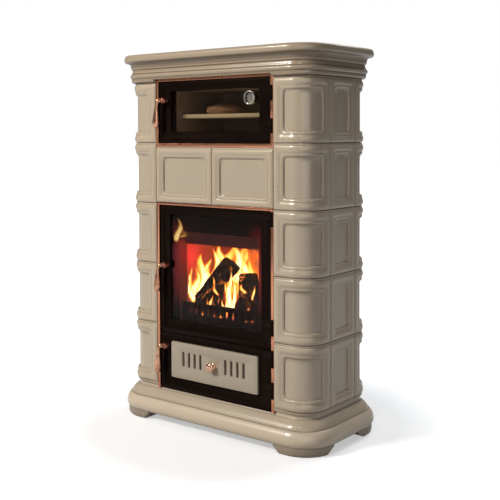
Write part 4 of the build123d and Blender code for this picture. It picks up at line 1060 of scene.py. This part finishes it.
# ---- doors
class STOVE_OT_doors(bpy.types.Operator):
    """Cast door frames, panes, seals, hinges and copper trims"""

    bl_idname = "stove.doors"
    bl_label = "Doors and trims"

    def execute(self, context):
        for node, bevel in (
            ("oven_door_frame", 0.9), ("fire_door_frame", 0.9),
            ("ash_door_frame", 0.7), ("hinge_brackets", 0.4),
        ):
            refine(node, "door_iron", bevel, "black_iron")
        refine("oven_trim", "trim_copper", 0.45, "copper")
        refine("fire_trim", "trim_copper", 0.45, "copper")
        dress("door_iron", "hinge_pins", "oven_glass_clips", "fire_glass_clips")
        dress("door_pane", "fire_door_glass")
        dress("oven_pane", "oven_door_glass")
        dress("rope_weave", "oven_door_gasket", "fire_door_gasket", "ash_door_gasket")
        self.add_screws()
        return {"FINISHED"}

    def add_screws(self):
        """Small screw heads in the upper corners of the fire door."""
        head = ((-0.5, 0), (-0.5, 4.6), (0.6, 4.6), (1.5, 4.0), (2.0, 2.6), (2.1, 0))
        away, height = 250.5, 841.0
        heads = [
            lathe("head", head, (x, front_line(), height), "door_iron", 20) for x in (-away, away)
        ]
        screws = join("fire_door_screws", heads, "door_iron")
        settle(screws, "fire_door", slot="black_iron")


# ---- handles and knob
class STOVE_OT_handles(bpy.types.Operator):
    """Copper drop handles of the three doors"""

    bl_idname = "stove.handles"
    bl_label = "Handles"

    def execute(self, context):
        for door in ("oven", "fire", "ash"):
            self.add_handle(door)
        return {"FINISHED"}

    def add_handle(self, door):
        """Ball boss on the door, and a drop-shaped grip with its spindle and tongue."""
        sizes = settings("handles")
        x, neck, belly = sizes.boss_x / MM, sizes.neck / MM, sizes.belly / MM
        y = front_line()
        z = getattr(sizes, door + "_z") / MM
        middle, radius = 14, 13.4
        turns = [math.radians(turn) for turn in range(36, 180, 9)]
        ball = [(middle - radius * math.cos(turn), radius * math.sin(turn)) for turn in turns]
        profile = [(-2.6, 0), (-2.6, 9.2), (0.6, 9.2), (1.8, 8.6), *ball, (27.4, 0)]
        boss = lathe(door + "_handle_boss", profile, (x, y, z), "aged_copper", 40, 60)
        settle(boss, door + "_handle", slot="copper")
        # left of the boss, in front of the wall line, below the boss, half width, half depth
        stops = (
            (3, 17.0, 0, 7.6, 7.6), (11, 21.0, -0.5, 8.6, 8.0), (18, 24.6, 1.5, 8.8, 8.2),
            (22.4, 26.6, 8, 8.4, 7.8), (24.4, 27.0, 18, neck + 1.0, neck + 0.4),
            (25.4, 27.2, 32, neck + 2.0, neck + 1.0), (26.8, 27.4, 50, neck + 4.8, neck + 3.2),
            (28.2, 27.4, 70, belly + 0.6, belly - 1.8), (29.2, 27.2, 87, belly + 2.4, belly - 1.0),
            (29.8, 27.0, 98, belly + 0.4, belly - 2.8), (30.2, 27.0, 105, belly - 4.4, belly - 6.0),
            (30.3, 27.0, 108.5, 1.6, 1.6),
        )
        keys = [(x - left, y - proud, z - down, *radii) for left, proud, down, *radii in stops]
        copper = "handle_copper"
        grip = tube("grip", smooth_route(keys), copper)
        tongue = bar("tongue", (x - 17, y + 18.7, z - 6), (x + 4, y + 25.9, z + 6), copper, 0.8)
        rod = ((0, 0), (0, 4.95), (27.8, 4.95), (27.8, 0))
        spindle = lathe("spindle", rod, (x, y + 25.9, z), copper, 24)
        handle = join(door + "_handle_polished", [grip, tongue, spindle], copper, 60)
        settle(handle, door + "_handle", door + "_door_handle", slot="copper")


class STOVE_OT_ash_front(bpy.types.Operator):
    """Glazed ash door panel with its slots, the air knob and the slider"""

    bl_idname = "stove.ash_front"
    bl_label = "Ash door front"

    def execute(self, context):
        # the ash panel takes the darkened copy of the glaze: painted shade
        panel = refine("ash_panel", "panel_glaze_painted_shade", 1.1, "glazed_tile", 30)
        zeros = [0.0] * len(panel.data.vertices)
        for key in ("patina", "crest"):
            panel.data.attributes.new(key, "FLOAT", "POINT").data.foreach_set("value", zeros)
        dress("bare_steel_sheet", "air_slider")
        copper = "knob_copper"
        front = front_line()
        radius = settings("handles").knob_radius / MM
        knob_z, pin_z, lobes = 254.0, 266.64, 9
        profile = (
            (-18, 0), (-18, 16.4), (-14.1, 16.4), (-14.1, 4.95), (7.4, 4.95), (7.4, 13.6),
            (9.0, 13.9), (10.4, 13.0), (11.2, 10.6), (12.4, 8.2), (14.6, 7.6), (16.6, 8.6),
            (18.4, 11.8), (20.4, 15.0), (22.8, 17.0), (25.4, radius - 1.2), (28.0, 16.4),
            (30.4, 13.6), (32.2, 10.2), (33.2, 6.4), (33.8, 3.0), (34.0, 0),
        )
        turned = lathe("turned", profile, (0, front, knob_z), copper, 48, 50)
        bulge = ((-4.2, 0), (-3.6, 2.2), (-1.6, 4.0), (1.2, 4.6), (3.2, 3.6), (4.4, 1.8), (4.8, 0))
        lobe = lathe("lobe", bulge, (0, 0, radius - 5.4), copper, 16)
        centre = (0, (front - 26.6) * MM, knob_z * MM)
        run_tree(lobe, repeat_tree(), copper, Count=lobes, Centre=centre, Arc=2 * math.pi)
        rod = ((-20.3, 0), (-20.3, 2.45), (-17.8, 2.45), (-17.8, 0))
        pin = lathe("pin", rod, (0, front, pin_z), copper, 16)
        knob = join("air_knob_turned", [turned, lobe, pin], copper, 50)
        settle(knob, "air_control_knob", "air_knob", slot="copper")
        return {"FINISHED"}


class STOVE_OT_thermometer(bpy.types.Operator):
    """Dial thermometer in the oven door"""

    bl_idname = "stove.thermometer"
    bl_label = "Thermometer"

    def execute(self, context):
        x, y, z = 180.0, front_line(), 1267.0  # middle of the dial
        black = "gauge_black"
        figures_out, figure_step, sweep = 12.4, 100, 300
        profile = (
            (-21.4, 0), (-21.4, 2.95), (-7.7, 2.95), (-7.7, 25.0), (5.6, 25.2), (7.6, 25.0),
            (8.7, 24.2), (8.95, 23.2), (8.6, 22.6), (7.2, 22.3), (-4.6, 22.3), (-4.6, 0.8),
            (-2.4, 0.8), (-2.4, 0),
        )
        ring = lathe("thermometer_ring", profile, (x, y, z), "gauge_ring_metal", 64, 45)
        settle(ring, "oven_door", "thermometer_case", slot="gauge_chrome")
        dress("gauge_face", "thermometer_dial")
        dress(black, "thermometer_needle")
        dress("gauge_lens", "thermometer_lens")
        profile = (
            (-3.2, 19.6), (-3.2, 22.2), (-2.0, 22.2), (-2.0, 20.8), (-2.9, 19.6), (-3.2, 19.6),
        )
        band = lathe("thermometer_band", profile, (x, y, z), black, 64)
        settle(band, "oven_door", slot="gauge_needle")
        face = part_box("thermometer_dial")[0][1] / MM
        first = math.radians(-sweep / 2)
        tree = repeat_tree()
        marks = []
        for count, inner, outer, half in ((11, 14.8, 19.4, 0.8), (51, 17.2, 19.4, 0.34)):
            mark = bar("mark", (-half, -0.12, inner), (half, 0.04, outer), black, 0.03)
            run_tree(
                mark, tree, black, Count=count, First_angle=first,
                Centre=Vector((x, face - 0.05, z)) * MM,
                Arc=math.radians(sweep) * count / (count - 1),
            )
            marks.append(mark)
        for step in range(6):
            turn = first + math.radians(sweep * step / 5)
            across, up = figures_out * math.sin(turn), figures_out * math.cos(turn)
            figure = str(step * figure_step)
            marks.append(self.add_figure(figure, (x + across, face - 0.1, z + up), black))
        scale = join("thermometer_scale", marks, black)
        settle(scale, "oven_door", slot="gauge_needle")
        profile = ((-1.2, 0), (-1.2, 2.2), (-0.6, 2.2), (-0.2, 1.2), (0, 0))
        hub = lathe("thermometer_hub", profile, (x, face - 0.4, z), black, 20)
        settle(hub, "oven_door", slot="gauge_needle")
        return {"FINISHED"}

    def add_figure(self, text, place, material):
        """Plain number on the dial, centred on a place in mm."""
        words = bpy.data.curves.new("figure", "FONT")
        words.body = text
        words.size = 5.2 * MM
        words.align_x = words.align_y = "CENTER"
        words.extrude = 0.04 * MM
        figure = add_object("figure", words)
        graph = bpy.context.evaluated_depsgraph_get()
        mesh = bpy.data.meshes.new_from_object(figure.evaluated_get(graph))
        bpy.data.objects.remove(figure)
        upright = Matrix.Rotation(math.pi / 2, 4, "X")
        mesh.transform(Matrix.Translation(Vector(place) * MM) @ upright)
        figure = add_object("figure", mesh)
        finish_mesh(figure, material)
        return figure


# ---- inside
class STOVE_OT_inside(bpy.types.Operator):
    """Oven, firebox, ash pan, steel body, rear panel and flue collar"""

    bl_idname = "stove.inside"
    bl_label = "Oven, firebox and body"

    def execute(self, context):
        refine("oven_shelf", "slab_stone", 1.0, "shelf_stone")
        dress("oven_enamel", "oven_box")
        dress("bare_steel_sheet", "oven_runners", "ash_pan")
        # the front plate takes iron with painted firelight
        dress("plate_iron_painted_glow", "front_plate")
        # the reveal takes iron with painted firelight
        refine("firebox_reveal", "mouth_iron_painted_glow", 0.8, "black_iron")
        # the log guard takes iron with painted firelight
        refine("log_guard", "guard_iron_painted_glow", 0.8, "black_iron")
        refine("firebox_grate", "grate_iron_raw", 0.8, "grate_iron")
        linings = ["firebox_lining_" + side for side in ("left", "right", "back")]
        dress("firebrick_lining", *linings, "firebox_baffle", "firebox_hearth")
        dress("body_paint", "side_plate_left", "side_plate_right", "back_plate")
        dress("body_paint", "top_plate", "base_frame")
        refine("rear_panel", "body_paint", 0, "body_steel")
        refine("flue_collar", "body_paint", 0.5, "body_steel")
        self.add_loaf()
        return {"FINISHED"}

    def add_loaf(self):
        """Round loaf on the oven's shelf."""
        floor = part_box("oven_shelf")[1][2] / MM
        centre = Vector((-66, front_line() + 150, floor + 18))
        half_size = Vector((78, 58, 26))
        rows, columns = 20, 36
        verts = []
        for i in range(rows + 1):
            tilt = math.pi * i / rows
            for turn in ring_turns(columns):
                around = math.sin(tilt)
                way = Vector((around * math.cos(turn), around * math.sin(turn), math.cos(tilt)))
                size = 1 + 0.07 * noise.noise(way * 2.4)
                point = centre + half_size * way * size
                verts.append((point.x, point.y, max(point.z, floor + 0.2)))
        faces = grid_faces(rows + 1, columns)
        settle(make_piece("loaf", verts, faces, "bread_crust", 60, weld=True), "stove_body")


# ---- fire
def add_log(name, start, finish, radii, seed, split):
    """Charred log between two points in mm: rough bark, flat split sides, burnt ends."""
    start, finish = Vector(start), Vector(finish)
    along = (finish - start).normalized()
    side = along.cross(Vector((0, 1, 0))).normalized()
    up = side.cross(along).normalized()
    rings = steps = 40
    verts, heat = [], []
    for i in range(rings + 1):
        u = i / rings
        radius = radii[0] + (radii[1] - radii[0]) * u
        taper = 1 - 0.10 * max(0, abs(2 * u - 1) - 0.9) / 0.1
        for turn in ring_turns(steps):
            x, y = math.cos(turn), math.sin(turn)
            rough = noise.noise(Vector((x * 1.6, y * 1.6, u * 5 + seed * 7)))
            fine = noise.noise(Vector((x * 5, y * 5, u * 22 + seed * 3)))
            size = radius * (1 + 0.10 * rough + 0.05 * fine)
            for facet in (split, split + 2.5):
                facing = math.cos(turn - facet)
                if facing > 0.1:
                    size = min(size, radius * (0.44 + 0.05 * fine) / facing)
            verts.append(start.lerp(finish, u) + (side * x + up * y) * size * taper)
            heat.append(max(0.0, min(1.0, 0.45 + 0.7 * rough + 0.4 * fine)))
    faces = grid_faces(rings + 1, steps)
    for first, end in ((0, start), (rings * steps, finish)):
        verts.append(end)
        heat.append(0.5)
        faces.extend((first + j, first + (j + 1) % steps, len(verts) - 1) for j in range(steps))
    log = make_piece(name, verts, faces, "charred_log", 35, burning=heat)
    settle(log, "stove_body")


def add_flame(name, foot, height, width, lean, seed, warmth, material):
    """Flame tongue: a curved leaf, wide below and pointed above, with a twist."""
    rows, columns, depth = 30, 12, 3.0
    verts, heat = [], []
    for i in range(rows + 1):
        u = i / rows
        body = (math.sin(math.pi * min(1.0, 0.16 + u * 0.84)) ** 0.8) * (1 - u * 0.35)
        sway = lean * u + 0.22 * width * math.sin(u * 6.0 + seed * 1.7)
        for j in range(columns + 1):
            v = 2 * j / columns - 1
            ripple = 1 + 0.30 * noise.noise(Vector((v * 1.5 + seed, u * 4.0, seed * 2.3)))
            x = foot[0] + sway + v * width * 0.5 * body * ripple
            y = foot[1] + depth * (math.cos(v * 1.4) - 1 + 0.5 * math.sin(u * 4 + seed))
            verts.append((x, y, foot[2] + height * u))
            core = (1 - abs(v) ** 1.6) ** 0.7
            hot = warmth * core * (1.22 - 0.7 * u) * min(1.0, 0.3 + u * 5)
            heat.append(max(0.0, min(1.0, hot)))
    faces = grid_faces(rows + 1, columns + 1, around=False)
    settle(make_piece(name, verts, faces, material, 180, burning=heat), "stove_body")


def ember_tree():
    """Geometry nodes: lumps scattered over a bed."""
    tree, given = new_tree(
        "Scatter embers", (("Count", "Int"), ("Size", "Float"), ("Seed", "Int"))
    )
    low, high = (-0.175, -0.125, 0.404), (0.175, 0.075, 0.424)
    full_turn, smallest, largest = 6.28, 0.5, 1.5
    draw, vectors = "FunctionNodeRandomValue", {"data_type": "FLOAT_VECTOR"}
    place = add_node(tree, draw, low, high, Seed=given["Seed"], **vectors)
    points = add_node(
        tree, "GeometryNodePoints", Count=given["Count"], Position=place.outputs[0]
    )
    lump = add_node(tree, "GeometryNodeMeshIcoSphere", Subdivisions=2, Radius=given["Size"])
    wobble = add_node(tree, "ShaderNodeTexNoise", Scale=180.0).outputs["Color"]
    spread = add_node(
        tree, "ShaderNodeVectorMath", wobble, (0.010, 0.010, 0.008), (-0.005, -0.005, -0.004),
        operation="MULTIPLY_ADD",
    )
    rough = add_node(
        tree, "GeometryNodeSetPosition", lump.outputs["Mesh"], Offset=spread.outputs[0]
    )
    size = add_node(tree, draw, None, None, smallest, largest, data_type="FLOAT")
    spin = add_node(tree, draw, None, (full_turn, full_turn, full_turn), **vectors)
    return end_tree(
        tree, given, Points=points.outputs[0], Instance=rough.outputs[0],
        Scale=size.outputs[1], Rotation=spin.outputs[0],
    )


LOGS = (
    # name, first end and second end (x, depth, height), radii, mark, angle of the split side
    ("log_leaning", (-162, 94, 460), (-28, 154, 630), (28, 40), 1, 4.4),
    ("log_low", (-140, 96, 428), (-60, 112, 470), (30, 34), 2, 4.0),
    ("log_stub", (-70, 92, 424), (-57, 101, 546), (25, 24), 3, 4.6),
    ("log_right", (92, 106, 420), (62, 138, 596), (46, 36), 4, 4.2),
    ("log_behind", (150, 212, 434), (-90, 220, 450), (34, 34), 5, 3.0),
)
TONGUES = (
    # foot (x, depth, height), height, width, lean, mark, warmth
    (-180, 76, 466, 140, 44, -1, 1.0, 1.0), (-170, 88, 468, 138, 74, 8, 2.1, 1.0),
    (-150, 112, 482, 176, 102, 12, 3.3, 1.0), (-134, 126, 500, 140, 90, 11, 4.2, 1.0),
    (-182, 71, 496, 92, 32, 3, 5.6, 0.9), (-122, 166, 532, 146, 70, -3, 6.4, 0.9),
    (-98, 176, 526, 172, 94, 1, 7.1, 0.85), (-59, 190, 536, 166, 110, -8, 8.5, 0.85),
    (-8, 190, 536, 166, 96, 1, 9.2, 0.85), (18, 194, 526, 160, 60, -6, 10.3, 0.8),
    (44, 204, 506, 160, 62, 1, 11.6, 0.6), (3, 102, 440, 162, 40, -5, 12.4, 1.0),
    (20, 97, 440, 146, 28, 5, 13.7, 1.0), (-24, 108, 440, 116, 26, 2, 14.1, 0.9),
    (-38, 74, 506, 52, 26, -26, 15.8, 0.6), (-75, 68, 440, 70, 17, 12, 16.2, 0.8),
    (-92, 67, 440, 54, 12, 7, 17.9, 0.7), (-12, 71, 440, 58, 18, 0, 18.3, 0.9),
    (82, 84, 528, 36, 30, -16, 19.4, 0.6), (112, 98, 500, 62, 15, 12, 20.6, 0.7),
    (-32, 178, 576, 140, 76, 8, 21.7, 0.9), (6, 180, 576, 134, 64, 6, 22.9, 0.85),
    (-194, 19, 712, 92, 48, 4, 24.4, 0.9), (-180, 19, 730, 34, 50, 30, 25.6, 0.6),
    (-150, 140, 440, 200, 130, 8, 26.3, 0.5), (-40, 206, 470, 240, 190, 4, 27.8, 0.52),
    (30, 214, 470, 220, 150, 0, 28.1, 0.46),
)
LICK_DEPTH = 20  # tongues nearer than this burn pale, close behind the glass
FIRE_LAMPS = (
    # name, place (x, depth, height), power, tint
    ("fire_lamp_right", (60, 190, 600), 1.1, (1.0, 0.34, 0.10)),
    ("fire_lamp_middle", (-60, 120, 660), 0.5, (1.0, 0.30, 0.10)),
    ("fire_lamp_left", (-140, 90, 650), 0.36, (1.0, 0.06, 0.10)),
)


class STOVE_OT_fire(bpy.types.Operator):
    """Logs, embers, flames and the glow in the firebox"""

    bl_idname = "stove.fire"
    bl_label = "Fire"

    def execute(self, context):
        fire = settings("fire")
        front = Vector((0, front_line(), 0))
        for name, start, finish, radii, mark, split in LOGS:
            start, finish = Vector(start) + front, Vector(finish) + front
            add_log(name, start, finish, radii, fire.seed + mark, split)
        # any mesh can carry the tree, which makes points of its own
        carrier = ((0, 0, 0), (1, 0, 0), (0, 1, 0))
        bed = make_piece("ember_lumps", carrier, [(0, 1, 2)], "ember_bed")
        values = {"Count": fire.embers, "Size": fire.ember_size, "Seed": fire.seed}
        run_tree(bed, ember_tree(), "ember_bed", **values)
        settle(bed, "stove_body")
        for index, (x, deep, low, *shape) in enumerate(TONGUES):
            material = "pale_lick" if deep < LICK_DEPTH else "flame"
            foot = Vector((x, deep, low)) + front
            add_flame(f"flame_{index + 1}", foot, *shape, material)
        for name, place, power, tint in FIRE_LAMPS:
            add_lamp(
                name, "POINT", (Vector(place) + front) * MM, power, tint,
                hidden=("camera", "transmission", "glossy"), shadow_soft_size=0.03,
            )
        return {"FINISHED"}


# ---- stage
def add_lamp(name, kind, place, power, tint, aim=None, hidden=(), **traits):
    """Lamp at a place in metres; hidden names the rays that don't see it."""
    lamp = bpy.data.lights.new(name, kind)
    for key, value in (("energy", power), ("color", tint), *traits.items()):
        setattr(lamp, key, value)
    holder = add_object(name, lamp)
    holder.location = place
    if aim:
        holder.rotation_euler = (Vector(aim) - Vector(place)).to_track_quat("-Z", "Y").to_euler()
    for ray in hidden:
        setattr(holder, "visible_" + ray, False)


class STOVE_OT_stage(bpy.types.Operator):
    """Pale floor, soft lamps, bright surroundings and the camera"""

    bl_idname = "stove.stage"
    bl_label = "Stage"

    def execute(self, context):
        self.add_floor()
        self.add_world()
        for name, place, aim, size, power, tint in (  # sizes in metres, powers in watts
            ("key_lamp", (-2.2, -4.2, 3.9), (0, -0.2, 0.75), 1.2, 188.0, (1.0, 0.93, 0.84)),
            ("back_lamp", (0.45, 2.9, 4.4), (0, 0, 0.3), 2.4, 80.0, (1.0, 0.98, 0.96)),
            ("spark_lamp", (1.2, -3.6, 4.2), (0.35, -0.2, 0.8), 0.22, 14.0, (1.0, 0.97, 0.92)),
        ):
            add_lamp(name, "AREA", place, power, tint, aim, shape="DISK", size=size)
        # a wide soft panel to the right of the camera, seen only as a sheen on the glaze
        add_lamp(
            "sheen_panel", "AREA", (3.1, -3.4, 1.7), 42.0, (1.0, 0.96, 0.90), (0.35, -0.15, 0.8),
            ("diffuse", "transmission", "camera"), shape="RECTANGLE", size=3.4, size_y=2.6,
        )
        self.add_camera()
        context.scene.view_settings.view_transform = "Standard"
        return {"FINISHED"}

    def add_floor(self):
        """Pale floor that shows near white to the camera, and keeps the stove's shadow."""
        tree, shader = start_material("pale_floor", Roughness=0.9, Emission_Color=(1, 1, 1))
        place = object_place(tree)
        tone = settings("colours").floor
        cloud = noise_texture(tree, place, 0.8)
        shade = mix_colour(tree, cloud, tone, [c * 0.985 for c in tone])
        path = add_node(tree, "ShaderNodeLightPath").outputs
        shade = mix_colour(tree, path["Is Diffuse Ray"], shade, (0.38, 0.38, 0.38))
        away = add_node(tree, "ShaderNodeVectorMath", place, operation="LENGTH").outputs["Value"]
        lift = maths(tree, "ADD", 0.46, rise(tree, away, 0.6, 1.1))
        seen = maths(tree, "MAXIMUM", path["Is Camera Ray"], path["Is Transmission Ray"])
        mirrored = times(tree, path["Is Glossy Ray"], 0.25)
        seen = maths(tree, "MAXIMUM", seen, mirrored)
        glow = maths(tree, "MULTIPLY", seen, lift)
        feed_named(tree, shader, {"Base Color": shade, "Emission Strength": glow})
        reach = 30
        mesh = bpy.data.meshes.new("floor")
        corners = [(x * reach, y * reach, 0) for x, y in ((-1, -1), (1, -1), (1, 1), (-1, 1))]
        mesh.from_pydata(corners, [], [(0, 1, 2, 3)])
        mesh.materials.append(MATERIALS["pale_floor"])
        floor = add_object("floor", mesh)

    def add_world(self):
        """Dim surroundings that show white to the camera and through glass."""
        world = bpy.data.worlds.new("surroundings")
        bpy.context.scene.world = world
        world.use_nodes = True
        tree = world.node_tree
        dim = 0.13
        path = add_node(tree, "ShaderNodeLightPath").outputs
        seen = maths(tree, "MAXIMUM", path["Is Camera Ray"], path["Is Transmission Ray"])
        strength = maths(tree, "ADD", dim, maths(tree, "MULTIPLY", seen, 1 - dim))
        background = tree.nodes["Background"]
        feed_named(tree, background, {"Color": (1, 1, 1), "Strength": strength})

    def add_camera(self):
        """Camera at the photograph's viewing angle."""
        place, yaw, tilt, roll = (2.1664, -2.7691, 1.1323), 37.423, 88, -0.2218
        data = bpy.data.cameras.new("photo_camera")
        data.sensor_width = 36.0
        data.lens = 64.2242
        data.shift_x = -0.0095
        data.shift_y = -0.1686
        data.clip_end = 60.0
        camera = add_object("photo_camera", data)
        camera.matrix_world = Matrix.Translation(place)
        for angle, axis in ((yaw, "Z"), (tilt, "X"), (roll, "Z")):
            camera.matrix_world @= Matrix.Rotation(math.radians(angle), 4, axis)
        bpy.context.scene.camera = camera


# ---- add-on
OPERATORS = (
    STOVE_OT_finishes, STOVE_OT_tiles, STOVE_OT_mouldings, STOVE_OT_doors, STOVE_OT_handles,
    STOVE_OT_ash_front, STOVE_OT_thermometer, STOVE_OT_inside, STOVE_OT_fire, STOVE_OT_stage,
)
GROUPS = (
    ("tiles", StoveTileSizes),
    ("handles", StoveHandleSizes),
    ("fire", StoveFireSettings),
    ("colours", StoveColours),
)


class STOVE_PT_panel(bpy.types.Panel):
    bl_idname = "STOVE_PT_panel"
    bl_label = "Tiled stove"
    bl_space_type = "VIEW_3D"
    bl_region_type = "UI"
    bl_category = "Stove"

    def draw(self, context):
        layout = self.layout
        for operator in OPERATORS:
            layout.operator(operator.bl_idname)
        for name, group in GROUPS:
            box = layout.box()
            box.label(text=group.__name__)
            for key in group.__annotations__:
                box.prop(settings(name), key)


def register():
    for name, group in GROUPS:
        bpy.utils.register_class(group)
        setattr(bpy.types.Scene, "stove_" + name, bpy.props.PointerProperty(type=group))
    for operator in OPERATORS:
        bpy.utils.register_class(operator)
    bpy.utils.register_class(STOVE_PT_panel)


def unregister():
    bpy.utils.unregister_class(STOVE_PT_panel)
    for operator in reversed(OPERATORS):
        bpy.utils.unregister_class(operator)
    for name, group in reversed(GROUPS):
        delattr(bpy.types.Scene, "stove_" + name)
        bpy.utils.unregister_class(group)


def main():
    register()
    bpy.ops.stove.finishes()
    bpy.ops.stove.tiles()
    bpy.ops.stove.mouldings()
    bpy.ops.stove.doors()
    bpy.ops.stove.handles()
    bpy.ops.stove.ash_front()
    bpy.ops.stove.thermometer()
    bpy.ops.stove.inside()
    bpy.ops.stove.fire()
    bpy.ops.stove.stage()


if __name__ == "__main__":
    main()
